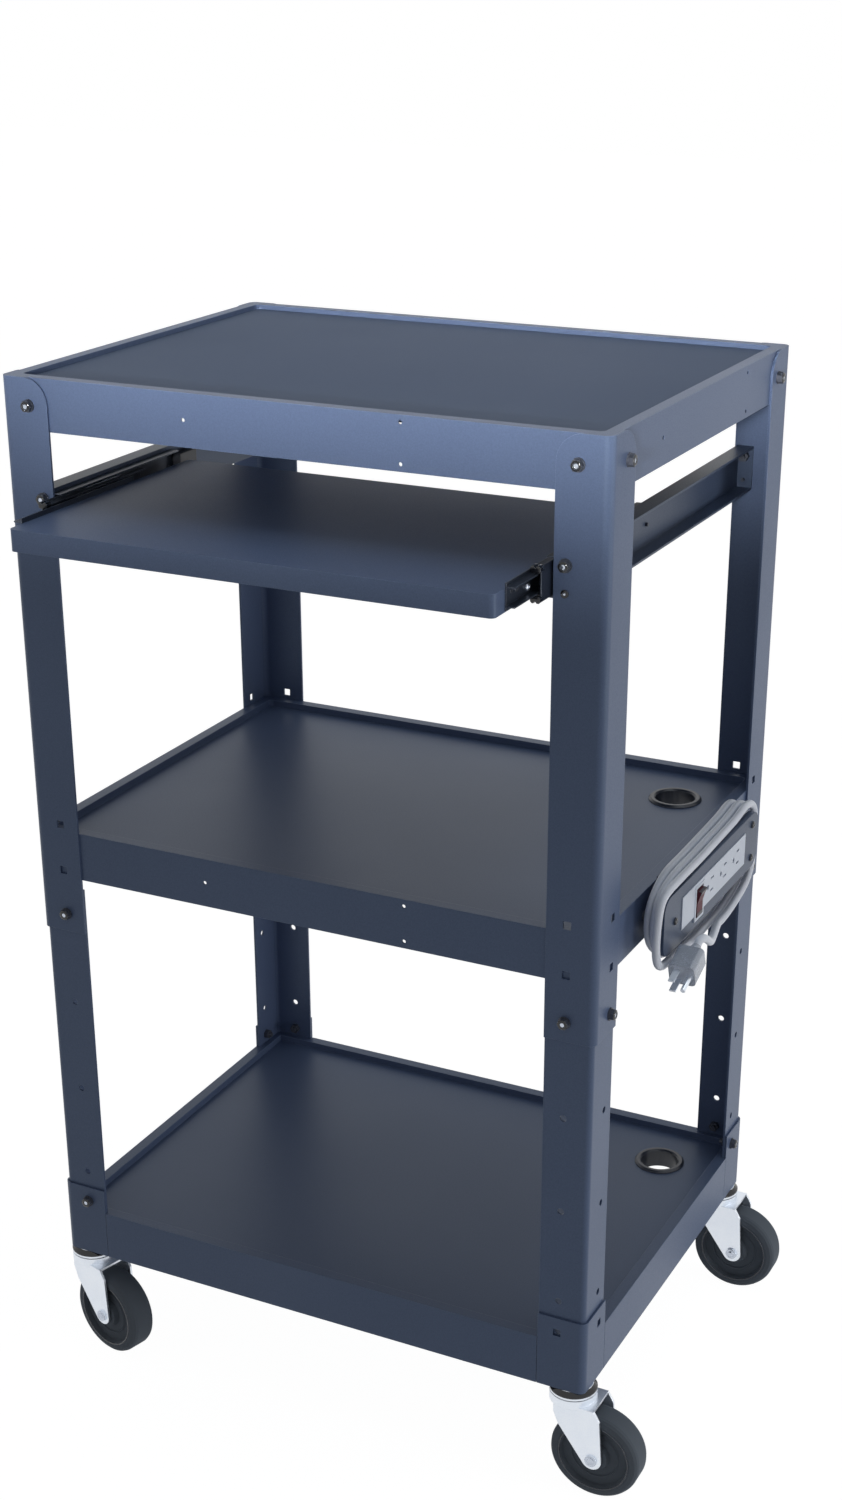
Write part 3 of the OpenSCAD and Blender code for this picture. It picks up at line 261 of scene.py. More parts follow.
class EffectGroup(Nodes):
    """Builds one shader node group with named sockets, once."""

    name = "effect"
    inputs: tuple[tuple[str, str, object], ...] = ()
    outputs: tuple[tuple[str, str], ...] = ()

    def __init__(self) -> None:
        """Finds the group, or makes it and fills it."""
        found = bpy.data.node_groups.get(self.name)
        super().__init__(found or bpy.data.node_groups.new(self.name, "ShaderNodeTree"))
        if found is None:
            face = self.tree.interface
            for label, kind, default in self.inputs:
                socket = face.new_socket(label, in_out="INPUT", socket_type=kind)
                socket.default_value = default
            for label, kind in self.outputs:
                face.new_socket(label, in_out="OUTPUT", socket_type=kind)
            self.given = self.node("NodeGroupInput").outputs
            self.sink = self.node("NodeGroupOutput")
            self.fill()

    def clamp(self, value: Socket) -> Socket:
        """Keeps a value between 0 and 1.

        Args:
            value: Socket of the value.

        Returns:
            The kept value's socket.
        """
        return self.feed(self.node("ShaderNodeClamp"), Value=value).outputs[0]

    def noise(self, scale: object, detail: float, stretch: Point = EVEN) -> Socket:
        """Adds noise in object space.

        Args:
            scale: Socket or number, cells per metre.
            detail: Number of octaves.
            stretch: Scale of each axis.

        Returns:
            The noise's value.
        """
        place = self.node("ShaderNodeTexCoord").outputs["Object"]
        mapping = self.feed(self.node("ShaderNodeMapping"), Vector=place, Scale=stretch)
        made = self.node("ShaderNodeTexNoise")
        self.feed(made, Vector=mapping.outputs["Vector"], Scale=scale, Detail=detail)
        return made.outputs["Fac"]

    def fill(self) -> None:
        """Makes the group's nodes. Each effect has its own."""


class Mottle(EffectGroup):
    """Soft cloudy change of a colour, with fine grain in it."""

    name = "mottle"
    inputs = (
        ("Colour", "NodeSocketColor", (0.5, 0.5, 0.5, 1.0)),
        ("Second Colour", "NodeSocketColor", (0.6, 0.6, 0.6, 1.0)),
        ("Cloud Scale", "NodeSocketFloat", 6.0),
        ("Grain Scale", "NodeSocketFloat", 900.0),
        ("Grain Amount", "NodeSocketFloat", 0.25),
    )
    outputs = (("Colour", "NodeSocketColor"), ("Mask", "NodeSocketFloat"))
    cloud_detail = 4.0
    grain_detail = 2.0
    grain_middle = 0.5
    grain_gain = 4.0

    def fill(self) -> None:
        """Mixes the two colours by clouds and grain."""
        cloud = self.noise(self.given["Cloud Scale"], self.cloud_detail)
        grain = self.noise(self.given["Grain Scale"], self.grain_detail)
        centred = self.math("SUBTRACT", grain, self.grain_middle)
        weighted = self.math("MULTIPLY", centred, self.given["Grain Amount"])
        both = self.math("ADD", cloud, self.math("MULTIPLY", weighted, self.grain_gain))
        mask = self.clamp(both)
        colour = self.mix(mask, self.given["Colour"], self.given["Second Colour"])
        self.feed(self.sink, Colour=colour, Mask=mask)


class PaintedEdgeHighlight(EffectGroup):
    """Mask of folded and cut sheet edges, where a lighter colour is painted on as a highlight."""

    name = "painted_edge_highlight"
    inputs = (
        ("Width", "NodeSocketFloat", 0.0012),
        ("Breakup", "NodeSocketFloat", 0.5),
    )
    outputs = (("Mask", "NodeSocketFloat"), ("Normal", "NodeSocketVector"))
    samples = 4
    gain = 5.0
    patch_scale = 60.0
    patch_detail = 3.0

    def fill(self) -> None:
        """Compares the rounded normal with the flat one, and breaks the mask up with noise."""
        bevel = self.node("ShaderNodeBevel", samples=self.samples)
        rounded = self.feed(bevel, Radius=self.given["Width"]).outputs["Normal"]
        dot = self.node("ShaderNodeVectorMath", operation="DOT_PRODUCT")
        self.link(rounded, dot.inputs[0])
        self.link(self.node("ShaderNodeNewGeometry").outputs["Normal"], dot.inputs[1])
        away = self.math("SUBTRACT", 1.0, dot.outputs["Value"])
        raised = self.math("MULTIPLY", away, self.gain)
        patches = self.noise(self.patch_scale, self.patch_detail)
        kept = self.math("SUBTRACT", 1.0, self.math("MULTIPLY", patches, self.given["Breakup"]))
        mask = self.clamp(self.math("MULTIPLY", raised, kept))
        self.feed(self.sink, Mask=mask, Normal=rounded)


class FineRelief(EffectGroup):
    """Height of a fine surface texture, such as powder coat's orange peel or moulded grain."""

    name = "fine_relief"
    inputs = (
        ("Coarse Scale", "NodeSocketFloat", 220.0),
        ("Fine Scale", "NodeSocketFloat", 1400.0),
        ("Fine Share", "NodeSocketFloat", 0.5),
    )
    outputs = (("Height", "NodeSocketFloat"),)
    detail = 1.0

    def fill(self) -> None:
        """Adds two noises of different scale."""
        coarse = self.noise(self.given["Coarse Scale"], self.detail)
        fine = self.noise(self.given["Fine Scale"], self.detail)
        part = self.math("MULTIPLY", fine, self.given["Fine Share"])
        self.feed(self.sink, Height=self.math("ADD", coarse, part))


class BrushLines(EffectGroup):
    """Fine drawn lines of plated steel, along one axis."""

    name = "brush_lines"
    inputs = (("Scale", "NodeSocketFloat", 90.0),)
    outputs = (("Value", "NodeSocketFloat"),)
    detail = 5.0
    stretch = (8.0, 8.0, 0.4)

    def fill(self) -> None:
        """Stretches noise along Z."""
        self.feed(self.sink, Value=self.noise(self.given["Scale"], self.detail, self.stretch))


# Finishes


@dataclass(frozen=True)
class Finish:
    """A finish that several pieces share.

    Attributes:
        name: Name of the material.
        slot: Slot of the record that it stands for.
        colour: Main colour, in linear light.
        second: Colour that it drifts toward.
        roughness: Roughness of the surface.
        metallic: 1 for bare metal.
        cloud_scale: Clouds per metre.
        grain_scale: Grains per metre.
        grain: Strength of the colour's grain.
        relief: Depth of the fine relief, in metres.
        coarse_relief: Scale of the coarse relief.
        fine_relief: Scale of the fine relief.
        edge_width: Width of the rounded edges, in metres.
        edge_highlight_colour: Lighter colour painted on the edges as a highlight, or None.
        edge_highlight_share: Strength of that painted edge highlight.
        rough_drift: Change of the roughness over the surface.
        specular: Level of the surface's reflection.
        sheen_tint: Colour of the surface's reflection.
        transmission: Share of light that passes through.
    """

    name: str
    slot: Slot
    colour: Colour
    second: Colour
    roughness: float = 0.5
    metallic: float = 0.0
    cloud_scale: float = 5.0
    grain_scale: float = 900.0
    grain: float = 0.2
    relief: float = 0.00001
    coarse_relief: float = 260.0
    fine_relief: float = 1500.0
    edge_width: float = 0.0006
    edge_highlight_colour: Colour | None = None
    edge_highlight_share: float = 0.5
    rough_drift: float = 0.08
    specular: float = 0.5
    sheen_tint: Colour = WHITE
    transmission: float = 0.0

    def material(self) -> bpy.types.Material:
        """Finds or builds the material.

        Returns:
            The material.
        """
        found = bpy.data.materials.get(self.name)
        if found is None:
            found = bpy.data.materials.new(self.name)
            found.use_nodes = True
            self.build(Nodes(found.node_tree))
        return found

    def effect(self, nodes: Nodes, kind: type[EffectGroup], **values: object) -> Outputs:
        """Places an effect group in the material.

        Args:
            nodes: The material's nodes.
            kind: Class of the effect.
            **values: Values of its inputs, with underscores for spaces.

        Returns:
            The group's results.
        """
        made = nodes.node("ShaderNodeGroup", node_tree=kind().tree)
        return nodes.feed(made, **values).outputs

    def rough_mask(self, nodes: Nodes, mottle: Outputs) -> Socket:
        """Gives the mask that the roughness follows.

        Args:
            nodes: The material's nodes, which aren't used here.
            mottle: Results of the mottle group.

        Returns:
            The mask's socket.
        """
        return mottle["Mask"]

    def build(self, nodes: Nodes) -> None:
        """Fills the material with its shader and effects.

        Args:
            nodes: The material's nodes.
        """
        mottle = self.effect(
            nodes, Mottle, Colour=(*self.colour, 1.0), Second_Colour=(*self.second, 1.0),
            Cloud_Scale=self.cloud_scale, Grain_Scale=self.grain_scale, Grain_Amount=self.grain,
        )
        edges = self.effect(nodes, PaintedEdgeHighlight, Width=self.edge_width)
        colour = mottle["Colour"]
        # Painted highlight: the edges get a lighter colour, as if they caught the light.
        if self.edge_highlight_colour is not None:
            share = nodes.math("MULTIPLY", edges["Mask"], self.edge_highlight_share)
            colour = nodes.mix(share, colour, (*self.edge_highlight_colour, 1.0))
        least = max(self.roughness - self.rough_drift, LEAST_ROUGHNESS)
        most = min(self.roughness + self.rough_drift, 1.0)
        relief = self.effect(
            nodes, FineRelief, Coarse_Scale=self.coarse_relief, Fine_Scale=self.fine_relief,
        )
        bump = nodes.feed(
            nodes.node("ShaderNodeBump"), Strength=1.0, Distance=self.relief,
            Height=relief["Height"], Normal=edges["Normal"],
        )
        nodes.feed(
            nodes.tree.nodes["Principled BSDF"], Base_Color=colour, Metallic=self.metallic,
            Roughness=nodes.between(self.rough_mask(nodes, mottle), least, most),
            Specular_IOR_Level=self.specular, Specular_Tint=(*self.sheen_tint, 1.0),
            Transmission_Weight=self.transmission, Normal=bump.outputs["Normal"],
        )


@dataclass(frozen=True)
class PlatedSteel(Finish):
    """Plated steel, whose roughness follows faint drawn lines.

    Attributes:
        line_scale: Scale of the lines.
    """

    line_scale: float = 90.0

    def rough_mask(self, nodes: Nodes, mottle: Outputs) -> Socket:
        """Gives the drawn lines as the mask that the roughness follows.

        Args:
            nodes: The material's nodes.
            mottle: Results of the mottle group, which aren't used here.

        Returns:
            The mask's socket.
        """
        return self.effect(nodes, BrushLines, Scale=self.line_scale)["Value"]


# The edge colours below are lighter colours painted on the edges as highlights.
PAINT = Finish(
    "painted_steel", Slot.PAINT, srgb(96, 111, 143), srgb(85, 99, 128), roughness=0.42,
    cloud_scale=3.0, grain=0.35, relief=0.00004, edge_highlight_colour=srgb(150, 168, 204), specular=0.33,
    sheen_tint=(0.76, 0.92, 1.0), edge_width=0.0009,
)
DARK_PAINT = Finish(
    "dark_painted_steel", Slot.PAINT, srgb(76, 88, 112), srgb(64, 76, 98), roughness=0.4,
    cloud_scale=4.0, grain=0.3, edge_highlight_colour=srgb(120, 134, 160), edge_highlight_share=0.4, specular=0.3,
    sheen_tint=(0.8, 0.92, 1.0), relief=0.00003, edge_width=0.0009,
)
BLACK_STEEL = Finish(
    "black_steel", Slot.BLACK_STEEL, srgb(24, 27, 34), srgb(34, 38, 46), roughness=0.22,
    cloud_scale=40.0, edge_highlight_colour=srgb(150, 160, 178), edge_highlight_share=0.6,
)
ZINC = PlatedSteel(
    "zinc_plate", Slot.BRIGHT_STEEL, srgb(240, 245, 251), srgb(224, 231, 242), roughness=0.34,
    metallic=0.85, cloud_scale=45.0, edge_highlight_colour=srgb(240, 244, 250),
)
SLIDE_STEEL = PlatedSteel(
    "slide_steel", Slot.BRIGHT_STEEL, srgb(70, 78, 92), srgb(52, 58, 70), roughness=0.34,
    metallic=0.6, cloud_scale=30.0, edge_width=0.0004, edge_highlight_colour=srgb(190, 198, 212),
    edge_highlight_share=0.6,
)
BALL_STEEL = PlatedSteel(
    "ball_steel", Slot.BRIGHT_STEEL, srgb(225, 229, 236), srgb(205, 210, 220), roughness=0.2,
    metallic=0.9, cloud_scale=200.0, grain=0.1, relief=0.000005, edge_width=0.0002,
)
MAT_RUBBER = Finish(
    "mat_rubber", Slot.RUBBER, srgb(80, 92, 116), srgb(68, 80, 104), roughness=0.66,
    cloud_scale=2.2, grain=0.5, grain_scale=1300.0, relief=0.00012, coarse_relief=700.0,
    fine_relief=2400.0, specular=0.25, sheen_tint=(0.6, 0.86, 1.0),
)
GROMMET_RUBBER = Finish(
    "grommet_rubber", Slot.RUBBER, srgb(40, 45, 56), srgb(52, 57, 70), roughness=0.34,
    cloud_scale=30.0, edge_width=0.001, edge_highlight_colour=srgb(120, 130, 150), edge_highlight_share=0.35,
)
STOP_RUBBER = Finish(
    "stop_rubber", Slot.RUBBER, srgb(26, 29, 36), srgb(36, 40, 48), cloud_scale=30.0, grain=0.3,
    relief=0.00002, edge_width=0.001,
)
TYRE_RUBBER = Finish(
    "wheel_rubber", Slot.TYRE, srgb(50, 60, 76), srgb(40, 48, 62), roughness=0.52, cloud_scale=14.0,
    grain=0.35, grain_scale=1200.0, relief=0.00005, edge_width=0.0014,
    edge_highlight_colour=srgb(112, 126, 150), edge_highlight_share=0.75,
)
WHEEL_GLOSS = Finish(
    "wheel_gloss", Slot.TYRE, srgb(44, 53, 68), srgb(36, 44, 58), roughness=0.18, cloud_scale=40.0,
    edge_highlight_colour=srgb(130, 144, 168), edge_highlight_share=0.6,
)
OUTLET_WHITE = Finish(
    "outlet_plastic", Slot.WHITE, srgb(228, 235, 248), srgb(216, 224, 238), roughness=0.45,
    cloud_scale=18.0, grain=0.25, relief=0.00002, edge_width=0.0005,
    edge_highlight_colour=srgb(226, 232, 242),
)
GLOSS_BLACK = Finish(
    "gloss_black", Slot.BLACK_STEEL, srgb(14, 16, 21), srgb(24, 27, 34), roughness=0.12,
    cloud_scale=60.0, grain=0.15, relief=0.000005, edge_highlight_colour=srgb(170, 180, 198), edge_highlight_share=0.6,
)
GLINT_STEEL = PlatedSteel(
    "glint_steel", Slot.BLACK_STEEL, srgb(214, 221, 233), srgb(170, 178, 192), roughness=0.16,
    metallic=0.8, cloud_scale=300.0, relief=0.000005, edge_width=0.0003,
)
ROCKER_RED = Finish(
    "rocker_plastic", Slot.RED, srgb(92, 26, 42), srgb(74, 18, 32), cloud_scale=60.0, grain=0.15,
    specular=0.25, sheen_tint=(0.6, 0.86, 1.0),
)
ROCKER_BLACK = Finish(
    "rocker_ends", Slot.RED, srgb(36, 30, 40), srgb(46, 38, 48), roughness=0.4, cloud_scale=60.0,
    grain=0.15,
)
CORD_VINYL = Finish(
    "cord_vinyl", Slot.VINYL, srgb(242, 246, 255), srgb(228, 233, 247), roughness=0.42,
    cloud_scale=24.0, grain=0.25, grain_scale=600.0, relief=0.00005, coarse_relief=180.0,
    fine_relief=900.0, edge_width=0.0003,
)
PLUG_VINYL = Finish(
    "plug_vinyl", Slot.CLEAR, srgb(214, 220, 232), srgb(190, 198, 214), roughness=0.25,
    cloud_scale=90.0, grain=0.3, relief=0.00005, edge_width=0.001, transmission=0.2,
    edge_highlight_colour=srgb(236, 240, 248), edge_highlight_share=0.4,
)


# Mesh tools


def stand(name: str, data: bpy.types.ID) -> bpy.types.Object:
    """Puts a mesh, a lamp or a camera in the scene.

    Args:
        name: Name of the object.
        data: What it shows.

    Returns:
        The new object.
    """
    made = bpy.data.objects.new(name, data)
    bpy.context.scene.collection.objects.link(made)
    return made


def new_piece(name: str, build: Builder, finish: Finish, body: str) -> bpy.types.Object:
    """Makes a mesh object, dresses it and lets it ride on a body.

    Args:
        name: Name of the piece.
        build: Function that fills the mesh, in metres in the cart's frame.
        finish: Finish of the whole piece.
        body: Body that it rides on.

    Returns:
        The new object.
    """
    mesh = bpy.data.meshes.new(name)
    work = bmesh.new()
    build(work)
    bmesh.ops.recalc_face_normals(work, faces=work.faces)
    for face in work.faces:
        face.smooth = True
    for edge in work.edges:
        edge.smooth = len(edge.link_faces) == 2 and edge.calc_face_angle(0.0) < SHARP_ANGLE
    work.to_mesh(mesh)
    work.free()
    piece = stand(name, mesh)
    piece.data.materials.append(finish.material())
    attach(piece, body)
    log.info("piece %s on %s, %d faces", name, body, len(mesh.polygons))
    return piece


def skin_rings(work: Mesh, rings: Sequence[Sequence[Vector]], closed: bool = False) -> None:
    """Joins rings of equal length with quads.

    Args:
        work: Mesh to add to.
        rings: Rings of points.
        closed: True to join the last ring to the first, otherwise both ends get a cap.
    """
    made = [[work.verts.new(point) for point in ring] for ring in rings]
    count = len(made[0])
    spans = len(made) if closed else len(made) - 1
    for index in range(spans):
        near, far = made[index], made[(index + 1) % len(made)]
        for k in range(count):
            work.faces.new((near[k], near[(k + 1) % count], far[(k + 1) % count], far[k]))
    if not closed:
        work.faces.new(list(reversed(made[0])))
        work.faces.new(made[-1])


def turned(
    profile: Profile, places: Sequence[Matrix], segments: int, reach: float = 0.0,
    closed: bool = False,
) -> Builder:
    """Gives the builder of one form, turned round the Z axis, at every place.

    Args:
        profile: Radius and height of each point.
        places: Where the form goes.
        segments: Number of segments round.
        reach: Height added to the profile's.
        closed: True for a profile that closes on itself, as a ring's does.

    Returns:
        The builder.
    """
    angles = [2 * math.pi * k / segments for k in range(segments)]

    def fill(work: Mesh) -> None:
        """Turns the form at every place.

        Args:
            work: Mesh to add to.
        """
        for place in places:
            rings = [
                [place @ Vector((r * math.cos(a), r * math.sin(a), h + reach)) for a in angles]
                for r, h in profile
            ]
            skin_rings(work, rings, closed)

    return fill


def aim(origin: Point, outward: Point) -> Matrix:
    """Places a piece's Z axis on a face.

    Args:
        origin: Place on the face, in millimetres.
        outward: Direction out of the face.

    Returns:
        The placing, from millimetres to metres.
    """
    turn = Vector(outward).to_track_quat("Z", "X").to_matrix().to_4x4()
    return Matrix.Scale(MM, 4) @ Matrix.Translation(origin) @ turn


def along_cart(across: int, level: int) -> Matrix:
    """Turns an outline so that it runs along the cart.

    Args:
        across: -1 or 1, the way of its first axis across the cart.
        level: -1 or 1, the way of its second axis, down or up.

    Returns:
        The turn.
    """
    return Matrix(((across, 0, 0, 0), (0, 0, 1, 0), (0, level, 0, 0), (0, 0, 0, 1)))


def rounded_bar(
    work: Mesh, outline: Profile, span: tuple[float, float], round_off: float, place: Matrix,
) -> None:
    """Makes a bar along its Z axis whose ends are drawn in by a small round.

    Args:
        work: Mesh to add to.
        outline: Points of the outline, about their own middle.
        span: Start and end along Z.
        round_off: Size of the rounds at the ends.
        place: Where the bar goes.
    """
    middle = Vector((sum(p[0] for p in outline), sum(p[1] for p in outline))) / len(outline)
    low, high = span
    part = round_off * ROUND_SHARE
    rings = []
    for height, inset in (
        (low, round_off), (low + part, part), (low + round_off, 0.0),
        (high - round_off, 0.0), (high - part, part), (high, round_off),
    ):
        ring = []
        for point in outline:
            arm = Vector(point) - middle
            kept = middle + arm * max(1 - inset / arm.length, LEAST_KEPT)
            ring.append(place @ Vector((kept.x, kept.y, height)))
        rings.append(ring)
    skin_rings(work, rings)


def sweep(path: Sequence[Vector], radius: float, sides: int) -> list[list[Vector]]:
    """Makes the rings of a round tube along a path.

    Args:
        path: Points of the centreline.
        radius: Radius of the tube.
        sides: Number of sides.

    Returns:
        One ring for each point.
    """
    rings = []
    angles = [2 * math.pi * k / sides for k in range(sides)]
    side = Vector((1.0, 0.0, 0.0))
    for k, point in enumerate(path):
        way = (path[min(k + 1, len(path) - 1)] - path[max(k - 1, 0)]).normalized()
        side = (side - way * side.dot(way)).normalized()
        up = way.cross(side)
        rings.append([point + radius * (side * math.cos(a) + up * math.sin(a)) for a in angles])
    return rings


def catmull(a: Vector, b: Vector, c: Vector, d: Vector, t: float) -> Vector:
    """Gives a point between b and c on a smooth curve through four points.

    Args:
        a: Point before.
        b: Start of the stretch.
        c: End of the stretch.
        d: Point after.
        t: Share of the stretch.

    Returns:
        The point.
    """
    bend = (a * 2 - b * 5 + c * 4 - d) * t * t
    return (b * 2 + (c - a) * t + bend + (b * 3 - a - c * 3 + d) * t ** 3) / 2


def dress(finish: Finish, *names: str) -> None:
    """Gives CAD nodes a finish.

    Args:
        finish: The finish.
        *names: Names of the nodes.
    """
    for name in names:
        node = frame["nodes"][name]
        node.data.materials.clear()
        node.data.materials.append(finish.material())
        log.info("node %s is %s", name, finish.name)


# Sub-assemblies


@dataclass
class Chassis:
    """Legs, sockets, trays, rails and the top mat.

    Attributes:
        trays: Painted trays and the sliding shelf.
        dark_pieces: Rails and the strip's housing, which are darker.
        posts: Start of the names of the pieces that every corner has.
        grommets: Rubber rings of the cable holes.
    """

    trays: tuple[str, ...] = ("top_tray", "middle_tray", "bottom_tray", "keyboard_shelf")
    dark_pieces: tuple[str, ...] = ("rail_left", "rail_right", "strip_housing")
    posts: tuple[str, ...] = ("leg_upper", "leg_lower", "corner_socket")
    grommets: tuple[str, ...] = ("grommet_middle", "grommet_bottom")

    def build(self) -> None:
        """Dresses the frame's sheet metal and rubber."""
        dress(PAINT, *self.trays)
        for corner in CORNERS:
            dress(PAINT, *(f"{post}_{corner}" for post in self.posts))
        dress(DARK_PAINT, *self.dark_pieces)
        dress(MAT_RUBBER, "top_mat")
        dress(GROMMET_RUBBER, *self.grommets)
        dress(STOP_RUBBER, "stop_blocks")


@dataclass
class Slides:
    """Ball slides of the keyboard shelf. Sizes in millimetres.

    Attributes:
        sides: Name and direction of each side.
        inner_box: Box of the right inner member.
        middle_box: Box of the right middle member.
        web_steel: Thickness of the inner member's web.
        screw: Place of the shelf's screw, behind the inner member's front and above its middle.
        screw_head: Radius and height of the screw's pan head with its socket.
        screw_segments: Segments round the head.
        hole_shades: Places of the two small holes, measured as the screw's is.
        hole_shade_ring: Radius and height of a dark ring painted as the shade in a small hole.
        hole_shade_segments: Segments round that painted ring.
        clip_overlap: Reach of the retainer clips past each side of the middle member.
        clip_rise: Foot and top of the clips, from the middle member's edge.
        clip_half: Half length of the clips, about the middle member's front.
        clip_step: Size of the clips' cut corners, and depth of their notch.
        notch_shares: Top and foot of the notch's flank, in steps from the clip's side.
        clip_round: Round of the clips' ends.
    """

    sides: tuple[tuple[str, int], ...] = (("left", -1), ("right", 1))
    inner_box: NodeBox = NodeBox.of("slide_inner_right")
    middle_box: NodeBox = NodeBox.of("slide_middle_right")
    web_steel: float = 1.2
    screw: tuple[float, float] = (41.8, -2.0)
    screw_head: Profile = ((3.5, 0.0), (3.4, 0.9), (2.6, 1.7), (1.7, 1.9), (1.3, 1.0), (0.4, 0.9))
    screw_segments: int = 24
    hole_shades: tuple[tuple[float, float], ...] = ((20.5, 1.4), (10.5, 3.0))
    hole_shade_ring: Profile = ((1.4, 0.0), (2.5, 0.0), (2.3, 0.5), (1.6, 0.5))
    hole_shade_segments: int = 20
    clip_overlap: float = 0.8
    clip_rise: tuple[float, float] = (-5.5, 0.7)
    clip_half: float = 4.0
    clip_step: float = 1.6
    notch_shares: tuple[float, float] = (2.0, 2.4)
    clip_round: float = 0.8

    def on_web(self, sign: int, spot: tuple[float, float]) -> Matrix:
        """Gives a place on the outside of one inner member.

        Args:
            sign: -1 for the left side, 1 for the right.
            spot: Distance behind the member's front, and above its middle.

        Returns:
            The placing.
        """
        behind, above = spot
        across = sign * (self.inner_box.low[0] + self.web_steel)
        place = (across, self.inner_box.low[1] + behind, self.inner_box.middle[2] + above)
        return aim(place, (sign, 0, 0))

    def clips(self, sign: int) -> Builder:
        """Gives the builder of one side's retainer clips, at the front of the middle member.

        Args:
            sign: -1 for the left side, 1 for the right.

        Returns:
            The builder.
        """
        box, step = self.middle_box, self.clip_step
        x0, x1 = box.low[0] - self.clip_overlap, box.high[0] + self.clip_overlap
        z0, z1 = (box.half[2] + rise for rise in self.clip_rise)
        top, foot = (share * step for share in self.notch_shares)
        outline = [
            (x0 + step, z0), (x1 - step, z0), (x1, z0 + step), (x1, z1 - step), (x1 - step, z1),
            (x1 - top, z1), (x1 - foot, z1 - step), (x0 + foot, z1 - step),
            (x0 + top, z1), (x0 + step, z1), (x0, z1 - step), (x0, z0 + step),
        ]
        span = (box.low[1] - self.clip_half, box.low[1] + self.clip_half)
        lifted = Matrix.Scale(MM, 4) @ Matrix.Translation((0, 0, box.middle[2]))

        def fill(work: Mesh) -> None:
            """Makes a notched bar above and below the inner member.

            Args:
                work: Mesh to add to.
            """
            for level in (-1, 1):
                place = lifted @ along_cart(sign, level)
                rounded_bar(work, outline, span, self.clip_round, place)

        return fill

    def build(self) -> None:
        """Dresses the slides' members and cages, and adds their screws and clips."""
        for side, sign in self.sides:
            dress(SLIDE_STEEL, *(f"slide_{part}_{side}" for part in ("outer", "middle", "inner")))
            head = turned(self.screw_head, [self.on_web(sign, self.screw)], self.screw_segments)
            new_piece(f"shelf_screw_{side}", head, GLINT_STEEL, "shelf")
            # Dark rings painted as the shade inside the two small holes.
            holes = [self.on_web(sign, spot) for spot in self.hole_shades]
            rims = turned(self.hole_shade_ring, holes, self.hole_shade_segments, closed=True)
            new_piece(f"eyelets_{side}", rims, GLOSS_BLACK, "shelf")
            new_piece(f"slide_clips_{side}", self.clips(sign), GLOSS_BLACK, "slide_middles")
        dress(BALL_STEEL, "cages_outer", "cages_inner")


